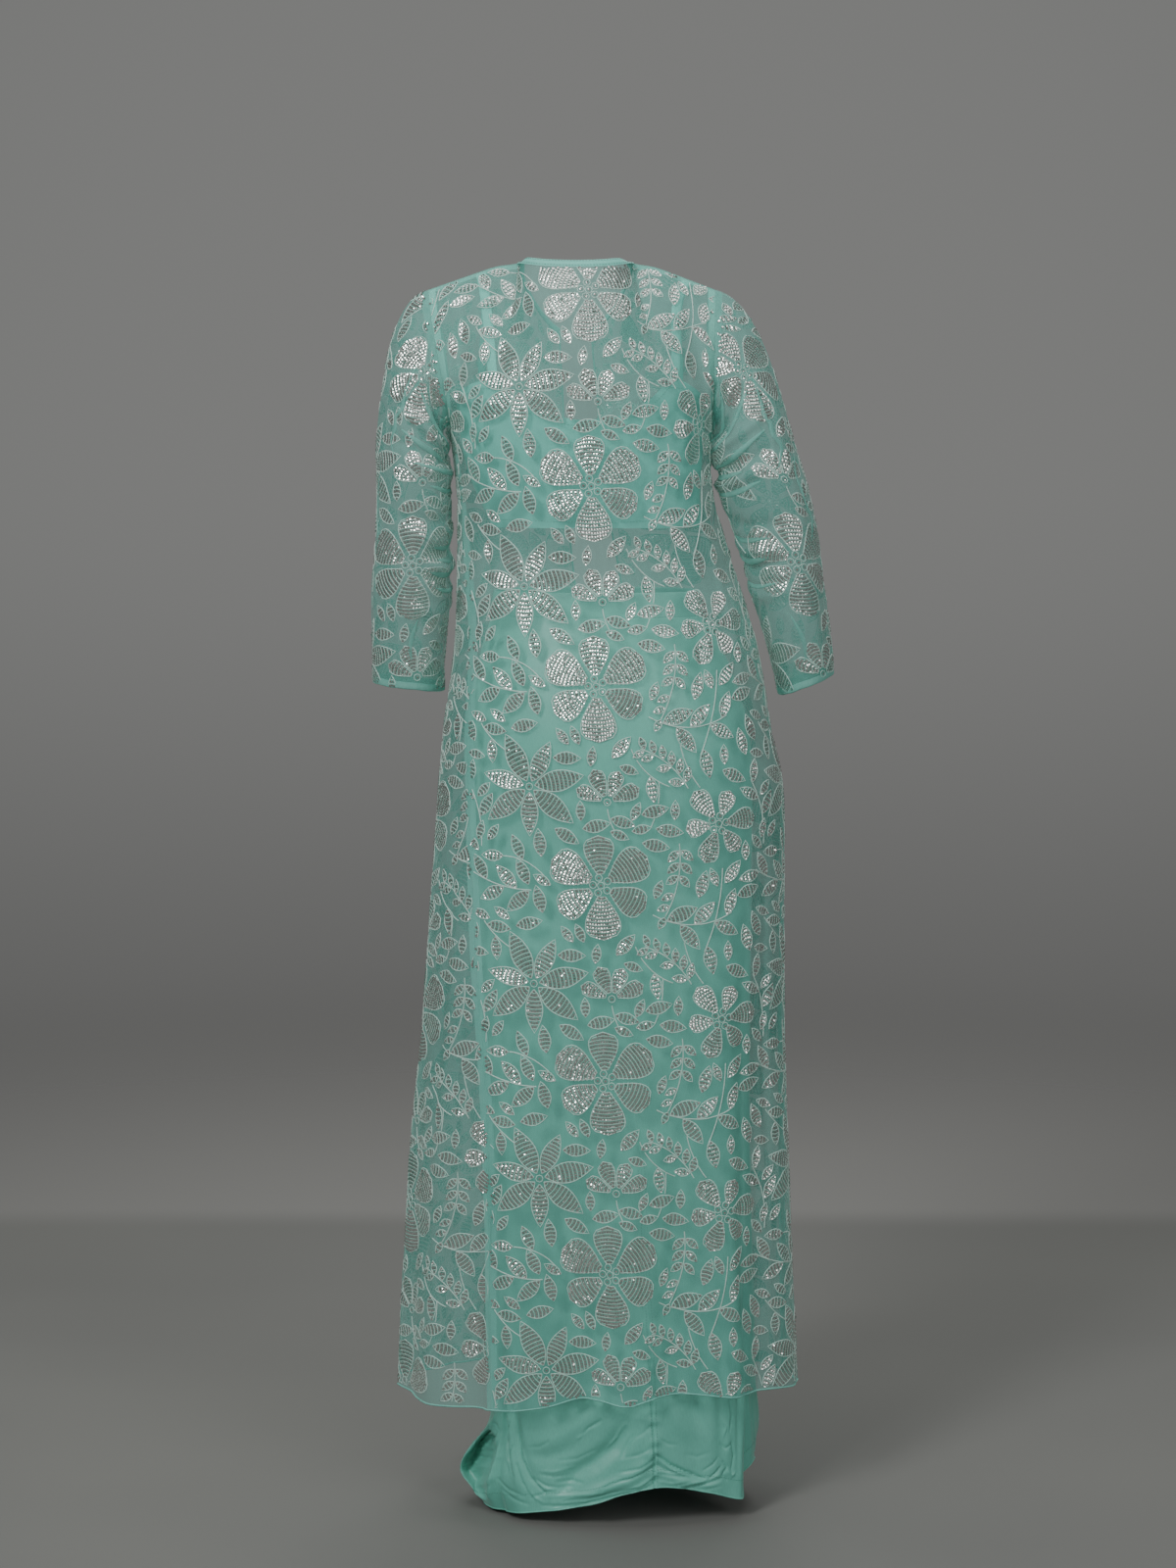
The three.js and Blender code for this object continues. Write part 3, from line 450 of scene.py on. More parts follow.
def ease_neck(points):
    """Rounds the corner where each shoulder seam meets the neckline."""
    for _, _, corner in SIDES.values():
        away = np.linalg.norm(points - np.array(corner, float), axis=-1)
        points[..., 2] -= NECK_EASE * np.exp(-((away / NECK_EASE_REACH) ** 2))
    return points


back = ease_neck(crumple_top(jacket_panel("back"), "back", 1))
fronts = {
    side: crumple_top(ease_neck(jacket_panel(side)), side, way)
    for side, way in (("left", -1), ("right", 1))
}

# ---------------------------------------------------------------- the sleeves

CAP_ROWS, ARM_ROWS = 68, 82
SLEEVE_ROUND = 318.0
# How the cap leaves the armhole, at the underarm and at the shoulder: outward and down.
CAP_OUT, CAP_DOWN = (0.5, 0.72), (0.8, 0.16)
CUFF_FOLD = 1.9

# By distance round the sleeve from the underarm (the back comes first) and height.
SLEEVE_CREASES = {
    "left": [
        (4, -5.5, 2, 1340, 22, 1380, 34, 1424, 38, 1460), (5, 4.0, 12, 1346, 34, 1384, 46, 1420),
        (6, -4.0, 4, 1330, 40, 1352, 80, 1392), (6, 3.2, 2, 1316, 46, 1330, 96, 1360),
        (6, -3.0, 0, 1300, 50, 1306, 100, 1326), (6, 2.6, -4, 1286, 40, 1288, 84, 1300),
        (8, -2.4, 10, 1240, 52, 1228, 96, 1236), (7, 2.4, 4, 1220, 40, 1206, 78, 1212),
        (6, -3.8, -6, 1196, 26, 1186, 60, 1192), (6, 4.0, -8, 1180, 24, 1170, 56, 1176),
        (6, -3.4, -6, 1162, 26, 1154, 64, 1164), (8, 2.0, 0, 1130, 40, 1118, 86, 1124),
        (9, -1.8, 110, 1420, 120, 1360, 116, 1300), (10, 1.8, 140, 1420, 148, 1350, 146, 1270),
        (10, -2.0, 180, 1400, 186, 1320, 180, 1230), (8, -1.6, 90, 1200, 100, 1140, 98, 1080),
        (9, 1.6, 130, 1210, 134, 1150, 130, 1070), (7, -3.0, 250, 1360, 280, 1330, 310, 1316),
        (7, 2.6, 240, 1330, 276, 1306, 312, 1300), (9, -2.6, 220, 1240, 260, 1220, 300, 1216),
        (8, 2.8, 215, 1190, 262, 1180, 300, 1184),
    ],
    "right": [
        (15, 8.0, -6, 1352, 2, 1326, 8, 1302), (7, -6.0, -8, 1284, 24, 1280, 60, 1290),
        (4, -7.0, 0, 1350, 20, 1378, 40, 1408, 44, 1446), (5, 4.5, 12, 1350, 34, 1380, 54, 1412),
        (6, -4.2, 4, 1328, 44, 1350, 84, 1388), (6, 3.4, 2, 1310, 50, 1324, 100, 1354),
        (6, -3.0, 0, 1292, 54, 1296, 104, 1318), (6, 2.6, -4, 1274, 44, 1276, 90, 1292),
        (8, -2.4, 8, 1232, 50, 1222, 94, 1228), (7, 2.6, 2, 1204, 42, 1190, 84, 1196),
        (7, -3.0, -4, 1182, 34, 1170, 76, 1178), (8, 2.4, 0, 1148, 40, 1138, 80, 1146),
        (9, 1.8, 110, 1420, 122, 1360, 120, 1290), (10, -1.8, 146, 1430, 152, 1350, 150, 1260),
        (10, 2.0, 184, 1400, 188, 1310, 180, 1220), (8, 1.6, 96, 1190, 102, 1130, 100, 1080),
        (9, -1.6, 132, 1220, 138, 1150, 132, 1080), (7, -3.0, 250, 1350, 284, 1320, 316, 1306),
        (7, 2.6, 240, 1320, 280, 1296, 318, 1290), (9, -2.6, 220, 1230, 262, 1212, 304, 1208),
        (8, 2.6, 214, 1186, 262, 1174, 300, 1178),
    ],
}


# Sharp pinched lines: they fan out of the armpit and break across the elbow.
SLEEVE_CRIMPS = {
    "left": [
        (2.6, -4.0, -14, 1318, 20, 1300, 56, 1296),
        (3.0, -6.0, -2, 1330, 16, 1372, 26, 1420, 30, 1470),
        (3.0, -4.5, 4, 1326, 30, 1366, 48, 1420), (2.6, -3.5, 2, 1318, 44, 1350, 80, 1398),
        (2.6, -3.0, 0, 1304, 50, 1322, 96, 1352), (2.4, 2.6, -4, 1290, 40, 1296, 78, 1312),
        (2.4, -3.0, -10, 1272, 26, 1270, 60, 1280), (2.6, -4.0, -8, 1208, 20, 1196, 46, 1196),
        (2.6, -4.0, -8, 1176, 22, 1164, 52, 1170), (2.4, 3.0, -6, 1150, 20, 1142, 50, 1150),
        (2.6, -2.0, 96, 1400, 104, 1350, 96, 1300), (2.8, 2.0, 128, 1300, 134, 1240, 126, 1190),
        (2.4, -2.0, 60, 1120, 70, 1080, 64, 1058), (2.4, 2.0, 108, 1130, 114, 1090, 108, 1060),
    ],
    "right": [
        (3.0, -7.0, -16, 1292, 16, 1288, 50, 1300),
        (3.2, -7.0, -2, 1336, 18, 1372, 34, 1410, 38, 1462),
        (3.0, -5.0, 4, 1322, 36, 1362, 58, 1416), (2.8, -4.0, 2, 1306, 50, 1340, 88, 1392),
        (2.6, 3.0, 0, 1290, 54, 1308, 100, 1340), (2.6, -3.5, -6, 1262, 40, 1262, 84, 1280),
        (2.6, -3.5, -10, 1216, 30, 1204, 74, 1210), (2.4, 3.0, -8, 1190, 30, 1178, 70, 1186),
        (2.4, -3.0, -6, 1158, 34, 1150, 70, 1158), (2.6, 2.0, 100, 1390, 110, 1340, 104, 1290),
        (2.8, -2.0, 132, 1320, 138, 1250, 130, 1190), (2.4, 2.0, 64, 1118, 74, 1082, 70, 1060),
        (2.4, -2.0, 112, 1134, 116, 1092, 110, 1064),
    ],
}


def sleeve_section(section, way, turn):
    """A ring of the sleeve; turn 0 is on the side of the body and a quarter is at the back."""
    height, side, ahead, half, depth, raised = section
    inward = np.cos(turn)
    across = side - way * half * inward
    along = ahead - depth * np.sin(turn) + 0 * inward
    return np.stack([across, along, height - raised * inward], -1)


def sleeve(side):
    way = SIDES[side][0]
    column = 0 if side == "left" else -1
    up = back[LOW_ROWS:, column]
    down = fronts[side][LOW_ROWS:, 0]
    ring = np.concatenate([up, down[::-1][1:-1]])
    count = len(ring)
    turn = np.arange(count) / count * 2 * math.pi
    table = SLEEVES[side]
    first = sleeve_section(table[0], way, turn)
    fall = np.linalg.norm(first - ring, axis=-1)[:, None]
    outer = ((1 - np.cos(turn)) / 2)[:, None]
    leave = np.concatenate([way * mix(*CAP_OUT, outer), 0 * outer, -mix(*CAP_DOWN, outer)], 1)
    slant = (table[1][1] - table[0][1]) / (table[0][0] - table[1][0])
    arrive = np.array([slant, 0.05, -1.0]) * fall * 0.95
    s = np.linspace(0, 1, CAP_ROWS + 1)[:, None]
    cap = hermite(ring[None], (leave * fall)[None], first[None], arrive[None], s)
    height = np.linspace(table[0][0], table[-1][0], ARM_ROWS + 1)[1:, None]
    section = [height] + [value(table, height, k) for k in range(1, 6)]
    arm = sleeve_section(section, way, turn[None])
    points = np.concatenate([cap, arm])
    points = np.concatenate([points, points[:, :1]], 1)
    u, v = run_across(points), points[..., 2]
    rows = np.arange(len(points))[:, None]
    fade = smooth(rows, 0, 12) * smooth(len(points) - 1 - rows, 0, 10)
    out = crease_field(u, v, SLEEVE_CREASES[side], period=SLEEVE_ROUND) * SLEEVE_GAIN
    out = out + crease_field(u, v, SLEEVE_CRIMPS[side], period=SLEEVE_ROUND, sharp=True)
    out = out * fade
    return points + sleeve_normals(points, side) * out[..., None]


def sleeve_normals(points, side):
    """Outward directions; the rings of the two sleeves run opposite ways round."""
    ring = points[:, :-1]
    n = normals_of(ring, closed=True) * (1 if side == "left" else -1)
    return np.concatenate([n, n[:, :1]], 1)


def cuff(side):
    """The turned-up hem: down the outside, round the fold and up the inside."""
    way = SIDES[side][0]
    table, low = SLEEVES[side], CUFFS[side]
    turn = np.linspace(0, 1, 2 * HIGH_ROWS + 1) * 2 * math.pi
    down = [(s, 0.0) for s in np.linspace(0, 0.96, 8)]
    fold = [(0.985, 0.15), (1.0, 0.5), (0.985, 0.85)]
    inner = [(s, 1.0) for s in np.linspace(0.96, 0.02, 7)]
    rows = []
    for s, inside in down + fold + inner:
        values = [mix(table[-1][k], low[k - 1], s) for k in range(1, 6)]
        height = table[-1][0] - CUFF_DEPTH * s
        wave = 0.9 * np.sin(turn * 5 + 1.0) * s + 0.6 * np.sin(turn * 11) * s
        for k in (2, 3):
            values[k] = values[k] - CUFF_FOLD * inside + wave * 0.5
        rows.append(sleeve_section([height + wave * 0.4] + values, way, turn))
    return np.array(rows)


sleeves = {side: sleeve(side) for side in ("left", "right")}
cuffs = {side: cuff(side) for side in ("left", "right")}

# ---------------------------------------------------------------- bodice and straps

BODICE_CREASES = [
    (9, -1.8, -150, 1300, -100, 1290, -40, 1300), (9, 1.6, 30, 1290, 90, 1282, 160, 1296),
    (10, 1.8, -200, 1270, -120, 1262, -60, 1268), (9, -1.8, 60, 1262, 140, 1254, 220, 1262),
    (10, -2.0, -210, 1370, -190, 1320, -180, 1260), (10, -2.0, 210, 1370, 196, 1320, 186, 1260),
    (10, 2.0, -360, 1300, -300, 1284, -250, 1290), (10, 2.0, 260, 1300, 310, 1284, 370, 1300),
]


BODICE_COLUMNS, BODICE_ROWS = 130, 36
BODICE_DEGREE = 2.2


def bodice(low, high):
    """Half of the bodice, from one angle to another; its creases go by millimetres round."""
    angle = np.linspace(low, high, BODICE_COLUMNS + 1)[None, :]
    s = np.linspace(0, 1, BODICE_ROWS + 1)[:, None]
    height = mix(BODICE_HEM, value(BODICE_TOP, turned(angle), 1), s)
    out = crease_field(turned(angle) * BODICE_DEGREE + 0 * height, height, BODICE_CREASES)
    return ring_point(BODICE_RINGS, JACKET_CORNER, height, angle + 0 * s, out - 0.2)


def bodice_edge(angle):
    """A point of the bodice's top edge."""
    return ring_point(BODICE_RINGS, JACKET_CORNER, value(BODICE_TOP, turned(angle), 1), angle)


def under_panel(panel, outward, rows, shares, depth):
    """Points and directions on the inner side of a jacket panel."""
    n = normals_of(panel) * outward
    along = np.gradient(panel, axis=1)
    columns = np.asarray(shares) * (panel.shape[1] - 1)
    rows = np.asarray(rows)
    r, c = np.floor(rows).astype(int), np.floor(columns).astype(int)
    r, c = np.minimum(r, panel.shape[0] - 2), np.minimum(c, panel.shape[1] - 2)
    fr, fc = (rows - r)[:, None], (columns - c)[:, None]

    def pick(field):
        top = mix(field[r, c], field[r, c + 1], fc)
        return mix(top, mix(field[r + 1, c], field[r + 1, c + 1], fc), fr)

    out = unit(pick(n))
    return pick(panel) - out * depth, unit(pick(along)), out


STRAP_DEPTH = 1.9


def strap(side):
    """The line of a strap under the jacket, with its directions across and outward."""
    back_angle, back_low, back_high, front_angle, front_low, front_high = STRAPS[side]
    first = LOW_ROWS + HIGH_ROWS // 4
    t = np.linspace(0, 1, 40)
    rows = mix(first, LOW_ROWS + HIGH_ROWS, t)
    parts = []
    for panel, outward, low, high, angle in (
        (back, 1, back_low, back_high, back_angle),
        (fronts[side], 1 if side == "right" else -1, front_low, front_high, front_angle),
    ):
        p, along, out = under_panel(panel, outward, rows, mix(low, high, t), STRAP_DEPTH)
        foot = bodice_edge(np.array(float(angle)))
        p = p + (foot - p[0]) * (1 - smooth(t, 0, 0.75))[:, None]
        parts.append((p, along, out))
    (p1, a1, n1), (p2, a2, n2) = parts
    top = (p1[-1] + p2[-1]) / 2
    path = np.concatenate([p1[:-1], top[None], p2[::-1][1:]])
    along = np.concatenate([a1[:-1], a1[-1][None], a2[::-1][1:]])
    way = np.sign(a1[0][0])
    along *= np.where(np.sign(along[:, 0]) == way, 1, -1)[:, None]
    normal = np.concatenate([n1, n2[::-1][1:]])
    return path, along, normal


# ---------------------------------------------------------------- the skirt

# By distance round from the centre back and height.
SKIRT_DEGREE = 2.9
SKIRT_CREASES = [
    # the long soft valley that falls to the left, with its ridge below
    (10, -8.0, 12, 150, 4, 124, -10, 100, -32, 80, -58, 64, -72, 50),
    (8, 4.5, 30, 108, 22, 84, 0, 58, -40, 40, -82, 25),
    (13, 3.5, -16, 156, -46, 128, -80, 108, -116, 100),
    (8, -2.0, -60, 96, -92, 84, -122, 84),
    (10, -2.0, -30, 160, -60, 150, -96, 150),
    # to the right of the seam: nearly smooth, then turned back at the corner
    (12, 2.0, 44, 160, 62, 128, 88, 108), (10, -1.5, 70, 170, 84, 140, 100, 120),
    (6, 2.5, 34, 70, 60, 58, 96, 50, 122, 44),
    (10, -2.4, 126, 220, 128, 140, 126, 76), (6, 1.8, 140, 220, 141, 140, 138, 60),
    (5, -3.0, 158, 240, 159, 150, 157, 60), (5, 2.5, 172, 240, 174, 150, 172, 90),
    # the crumpled left seam
    (8, -3.0, -150, 170, -146, 130, -134, 84, -112, 44),
    (6, 3.0, -164, 180, -162, 130, -156, 90, -140, 46),
    (5, -6.0, -178, 180, -176, 130, -172, 96, -162, 60),
    (4, 5.0, -192, 180, -190, 140, -187, 104, -184, 74),
    # the sides and the front, in the same manner
    (7, -5.0, 220, 140, 236, 96, 260, 60, 296, 34), (8, 4.0, 240, 150, 262, 108, 292, 70),
    (8, -5.0, 300, 130, 330, 92, 372, 66, 410, 50), (8, 3.5, 330, 150, 356, 116, 392, 92),
    (7, -4.0, 430, 120, 452, 80, 486, 48), (8, 4.0, -330, 150, -356, 112, -392, 84),
    (8, -5.0, -300, 130, -336, 92, -380, 62, -416, 44), (7, -4.0, -436, 110, -458, 76, -492, 44),
    (9, 3.0, 420, 220, 440, 180, 476, 150), (9, 3.0, -430, 230, -446, 180, -480, 150),
    (12, -4.0, 210, 520, 216, 400, 212, 280), (12, 4.0, 300, 560, 306, 440, 300, 320),
    (12, -4.0, -240, 520, -232, 400, -238, 280), (12, 4.0, -330, 560, -324, 430, -330, 300),
]
# Sharp lines, where the cloth is pinched or has been pressed.
SKIRT_CRIMPS = [
    (1.5, -3.4, -44, 114, -36, 124, -22, 134), (1.4, 2.2, -50, 110, -42, 116, -30, 128),
    (1.6, -3.0, 8, 116, 2, 102, -2, 88), (1.5, 2.2, 0, 128, -6, 112, -16, 98),
    (1.2, -2.2, -80, 53, -62, 55, -46, 54), (1.2, -1.6, -104, 61, -84, 60, -66, 62),
    (1.4, -2.6, 29, 78, 6, 64, -20, 51), (1.2, -2.0, 30, 88, 14, 76, -4, 70),
    (1.2, 2.2, 31, 67, 14, 54, -6, 45), (1.2, -2.2, 30, 56, 8, 44, -22, 36),
    (1.4, -2.6, 8, 50, -37, 36, -72, 30), (1.4, -2.8, -4, 39, -60, 25, -104, 22),
    (1.2, 1.8, -20, 44, -60, 38, -96, 34), (1.2, -1.8, -120, 30, -96, 40, -70, 44),
    (1.2, -1.6, 24, 100, 12, 92, 0, 88), (1.2, -1.4, 26, 128, 16, 118, 8, 112),
    (1.2, -1.4, 34, 112, 46, 104, 58, 102), (1.2, 1.6, 33, 58, 50, 54, 70, 55),
    (1.4, -1.6, -30, 96, -52, 84, -78, 80), (1.3, 1.5, -60, 72, -84, 66, -104, 66),
    (1.3, -1.4, -90, 104, -104, 96, -120, 94), (1.2, -1.8, -96, 48, -80, 46, -60, 49),
    (1.2, 1.6, -112, 52, -98, 44, -80, 42), (1.3, 1.8, -40, 32, -66, 22, -92, 18),
    (1.2, -1.6, 84, 44, 104, 42, 128, 44), (1.4, -1.0, 72, 88, 90, 84, 108, 88),
    (1.5, -4.2, -147, 132, -134, 78, -122, 55, -98, 38),
    (1.2, 2.6, -138, 96, -126, 68, -108, 48), (1.2, -2.6, -130, 74, -114, 54, -92, 46),
    (1.2, -2.6, -142, 70, -132, 48, -116, 30), (1.2, 2.0, -128, 44, -116, 32, -100, 26),
    (1.5, -4.6, 31, 92, 48, 78, 70, 67, 101, 55), (1.2, 2.8, 33, 86, 50, 72, 74, 61),
    (1.2, -2.6, 31, 80, 42, 72, 54, 68), (1.2, -2.0, 32, 68, 62, 62, 96, 56),
    (1.4, -3.4, 56, 44, 93, 48, 127, 53), (1.2, 2.0, 60, 49, 94, 53, 124, 58),
    (1.2, -3.0, 104, 54, 116, 60, 127, 68), (1.1, -1.8, 98, 66, 112, 72, 122, 80),
    (1.2, -3.0, 132, 74, 138, 66, 130, 58, 138, 50), (1.1, -2.2, 128, 96, 136, 90, 144, 94),
    (1.1, 2.0, 130, 128, 136, 116, 132, 104), (1.2, -2.6, 142, 150, 146, 130, 142, 110),
    (1.2, -3.0, 146, 96, 150, 80, 146, 62), (1.1, 2.4, 140, 60, 146, 54, 152, 58),
    (1.2, -2.8, -152, 160, -158, 146, -152, 132), (1.2, 2.8, -166, 150, -160, 138, -166, 124),
    (1.2, -3.0, -158, 120, -164, 108, -158, 96), (1.2, 2.6, -172, 112, -166, 98, -170, 84),
    (1.2, -2.6, -152, 92, -158, 78, -150, 64), (1.2, -2.6, -164, 74, -156, 62, -146, 54),
    (1.2, -3.4, -180, 140, -184, 120, -180, 100), (1.2, 2.6, -176, 88, -170, 74, -160, 62),
    (1.4, -2.6, -186, 46, -160, 36, -130, 32), (1.2, -2.4, -176, 34, -150, 26, -124, 22),
]
# The lobe that buckles out over the floor on the left: a dented cavity behind a rolled
# rim, and crinkles that run down into it.
# distance round, height, half width, half height and depth of the cavity
POCKET = (-221, 55, 30, 44, 46)
PUDDLE_CREASES = [
    (4, 6.0, -190, 96, -188, 70, -190, 46, -202, 18),
    (6, 6.0, -216, 112, -240, 94, -254, 70, -250, 36),
    (5, 3.0, -190, 46, -206, 26, -228, 16, -250, 12),
]
PUDDLE_CRIMPS = [
    (2.0, -4.0, -204, 98, -212, 84, -206, 70), (2.0, 4.0, -214, 96, -222, 80, -218, 64),
    (2.0, -4.0, -226, 92, -232, 74, -228, 56), (2.0, 3.5, -238, 84, -242, 66, -238, 48),
    (2.0, 3.5, -200, 76, -214, 66, -228, 64), (2.0, -4.0, -200, 62, -212, 54, -226, 44),
    (2.0, 3.5, -202, 50, -216, 40, -232, 34), (2.0, -3.5, -206, 38, -220, 28, -238, 24),
    (1.8, -3.5, -196, 88, -200, 70, -198, 54), (2.0, -3.0, -246, 72, -250, 56, -246, 40),
    (1.8, -3.0, -190, 40, -202, 26, -218, 18), (2.4, -4.0, -250, 96, -262, 80, -268, 60),
    (2.6, 4.0, -262, 90, -274, 70, -278, 46), (2.6, -4.0, -272, 80, -286, 58, -292, 34),
    (1.6, -3.0, -206, 84, -216, 88, -228, 82), (1.6, 3.0, -208, 72, -222, 74, -236, 68),
    (1.6, -3.0, -210, 56, -224, 54, -238, 58), (1.6, 3.0, -212, 46, -226, 48, -240, 44),
    (1.6, 3.0, -218, 98, -220, 84, -216, 72), (1.6, 3.0, -230, 64, -234, 50, -228, 38),
    (1.6, 2.4, -204, 30, -220, 22, -236, 18), (1.6, -2.4, -196, 100, -206, 108, -220, 112),
]


def skirt_seam(column, height):
    return value(SKIRT_SEAMS, height, column)


# The lowest share of the height has more rows than the rest.
SKIRT_FINE, SKIRT_FINE_ROWS, SKIRT_COARSE_ROWS = 0.17, 112, 38
SEAM_GROOVE, SEAM_PUCKER = (1.6, 1.6), (0.7, 7.0)
WAISTBAND_DEPTH = 30.0
# middle angle, spread, rise, height and reach of the lobe on the floor
LOBE = (-90, 26.0, 40.0, 42.0, 40.0)


def skirt_panel(columns, low, high, turn, crowd=0.0):
    """A panel between two columns of SKIRT_SEAMS; turn is added to the second one's angle,
    and crowd draws the panel's columns towards the two seams."""
    across = np.linspace(0, 1, columns + 1)[None, :]
    across = mix(across, (1 - np.cos(math.pi * across)) / 2, crowd)
    s = np.concatenate([
        np.linspace(0, SKIRT_FINE, SKIRT_FINE_ROWS, endpoint=False),
        mix(SKIRT_FINE, 1, np.linspace(0, 1, SKIRT_COARSE_ROWS + 1) ** 1.3),
    ])[:, None]
    top = SKIRT_RINGS[0][0] - WAISTBAND_DEPTH

    def angle_at(height):
        return mix(skirt_seam(low, height), skirt_seam(high, height) + turn, across)

    height = mix(20.0, top, s)
    for _ in range(4):
        height = mix(value(SKIRT_HEM, turned(angle_at(height)), 1), top, s)
    angle = angle_at(height)
    middle, spread, rise, at, reach = LOBE
    away = turned(angle, middle) / spread
    puddle = rise * np.exp(-away * away) * np.exp(-(((height - at) / reach) ** 2))
    u = turned(angle) * SKIRT_DEGREE
    out = folds_at(SKIRT_FOLDS, angle, height) + puddle
    out = out + crease_field(u, height, SKIRT_CREASES + PUDDLE_CREASES)
    out = out + crease_field(u, height, SKIRT_CRIMPS + PUDDLE_CRIMPS, sharp=True)
    seam = turned(angle, skirt_seam(2, height)) * SKIRT_DEGREE
    pucker = 0.9 * np.sin(height / 3.4) + 0.6 * np.sin(height / 2.1 + 1.0)
    (groove, narrow), (share, wide) = SEAM_GROOVE, SEAM_PUCKER
    out = out - groove * np.exp(-((seam / narrow) ** 2))
    out = out + pucker * np.exp(-((seam / wide) ** 2)) * share
    points = ring_point(SKIRT_RINGS, SKIRT_CORNER, height, angle, out)
    at, rise, reach, tall, deep = POCKET
    inside = np.clip(1 - ((u - at) / reach) ** 2 - ((height - rise) / tall) ** 2, 0, 1)
    points[..., 1] += deep * inside ** 0.85
    return points


WAISTBAND_PROFILE = [
    (0.4, 0.0), (3, 0.5), (10, 0.7), (20, 0.7), (27, 0.4), (29.6, -0.4), (29.9, -1.0),
    (29.6, -1.6), (27, -2.0), (14, -2.0), (3, -2.0),
]


def waistband():
    angle = np.linspace(-180, 180, 145)
    rows = []
    top = float(SKIRT_RINGS[0][0])
    for rise, out in WAISTBAND_PROFILE:
        height = np.full(angle.shape, top - WAISTBAND_DEPTH + rise)
        gather = 0.35 * np.sin(np.radians(angle) * 40) * (1 if out > -1 else 0)
        rows.append(ring_point(SKIRT_RINGS, SKIRT_CORNER, height, angle, out + gather))
    return np.array(rows)


# ---------------------------------------------------------------- meshes

def metres(points):
    out = np.asarray(points, float) * 0.001
    out[..., 2] -= SHOULDER * 0.001
    return out


def link(name, mesh, material):
    piece = bpy.data.objects.new(name, mesh)
    bpy.context.scene.collection.objects.link(piece)
    mesh.materials.append(material)
    return piece


def build(name, vertices, faces, material, uv, shade=True):
    """A mesh of equal-sided faces, with its flat layout as the map OFBake."""
    mesh = bpy.data.meshes.new(name)
    vertices = np.ascontiguousarray(vertices, np.float32)
    faces = np.ascontiguousarray(faces, np.int32)
    sides = faces.shape[1]
    mesh.vertices.add(len(vertices))
    mesh.vertices.foreach_set("co", vertices.ravel())
    mesh.loops.add(faces.size)
    mesh.loops.foreach_set("vertex_index", faces.ravel())
    mesh.polygons.add(len(faces))
    mesh.polygons.foreach_set("loop_start", np.arange(0, faces.size, sides, dtype=np.int32))
    mesh.update(calc_edges=True)
    mesh.validate()
    uv = np.asarray(uv, float)
    low, high = uv.min(0), uv.max(0)
    flat = 0.01 + 0.98 * (uv - low) / max((high - low).max(), 1e-9)
    layer = mesh.uv_layers.new(name="OFBake")
    layer.data.foreach_set("uv", flat[faces.ravel()].astype(np.float32).ravel())
    mesh.polygons.foreach_set("use_smooth", np.full(len(faces), shade))
    return link(name, mesh, material)


def grid_faces(rows, columns, flip=False):
    r, c = np.meshgrid(np.arange(rows - 1), np.arange(columns - 1), indexing="ij")
    a = r * columns + c
    quads = np.stack([a, a + 1, a + columns + 1, a + columns], -1).reshape(-1, 4)
    return quads[:, ::-1] if flip else quads


def flat_of(points):
    """Distances along and across a grid of points, as cloth laid flat."""
    u = run_across(points)
    return np.stack([u - u[:, -1:] / 2, run_up(points)], -1)


def cloth(name, points, material, flip=False):
    rows, columns = points.shape[:2]
    return build(
        name, metres(points).reshape(-1, 3), grid_faces(rows, columns, flip), material,
        flat_of(points).reshape(-1, 2),
    )


def sew(name, grids, flats, material):
    """One mesh of several grids of points, each with its places when laid flat."""
    faces, start = [], 0
    for grid in grids:
        rows, columns = grid.shape[:2]
        faces.append(grid_faces(rows, columns) + start)
        start += rows * columns
    vertices = np.concatenate([grid.reshape(-1, 3) for grid in grids])
    uv = np.concatenate([flat.reshape(-1, 2) for flat in flats])
    return build(name, metres(vertices), np.concatenate(faces), material, uv)


def merged(name, grids, material):
    """Several small grids in one piece, laid flat beside each other."""
    flats, shift = [], 0.0
    for grid in grids:
        flat = flat_of(grid.transpose(1, 0, 2)).transpose(1, 0, 2).copy()
        flat[..., 0] += shift - flat[..., 0].min()
        shift = flat[..., 0].max() + 3
        flats.append(flat)
    return sew(name, grids, flats, material)


TUBE_FLAT = 1.5


def tube(name, paths, radius, material, sides=6):
    """Round trims along lists of points, in millimetres."""
    grids, flats, shift = [], [], 0.0
    turn = np.linspace(0, 2 * math.pi, sides + 1)[None, :, None]
    for path in paths:
        path = np.asarray(path, float)
        t = unit(np.gradient(path, axis=0))
        guide = np.array([0.0, 0, 1]) if abs(t[:, 2]).mean() < 0.7 else np.array([0.0, 1, 0])
        a = unit(np.cross(t, guide))
        b = np.cross(t, a)
        ring = np.cos(turn) * a[:, None] + np.sin(turn) * b[:, None]
        grids.append(path[:, None] + radius * ring)
        u = np.arange(sides + 1) * TUBE_FLAT + shift
        flats.append(np.stack(np.broadcast_arrays(u[None], run_along(path)[:, None]), -1))
        shift += sides * TUBE_FLAT + 3
    return sew(name, grids, flats, material)


# ---------------------------------------------------------------- materials

def linear(r, g, b):
    def one(c):
        c /= 255
        return c / 12.92 if c <= 0.04045 else ((c + 0.055) / 1.055) ** 2.4
    return (one(r), one(g), one(b), 1.0)


def nodes_of(name):
    material = bpy.data.materials.new(name)
    material.use_nodes = True
    tree = material.node_tree
    shader = tree.nodes["Principled BSDF"]
    return material, tree, shader


def add(tree, kind, **settings):
    node = tree.nodes.new(kind)
    for key, setting in settings.items():
        if hasattr(node, key):
            setattr(node, key, setting)
        else:
            node.inputs[key].default_value = setting
    return node


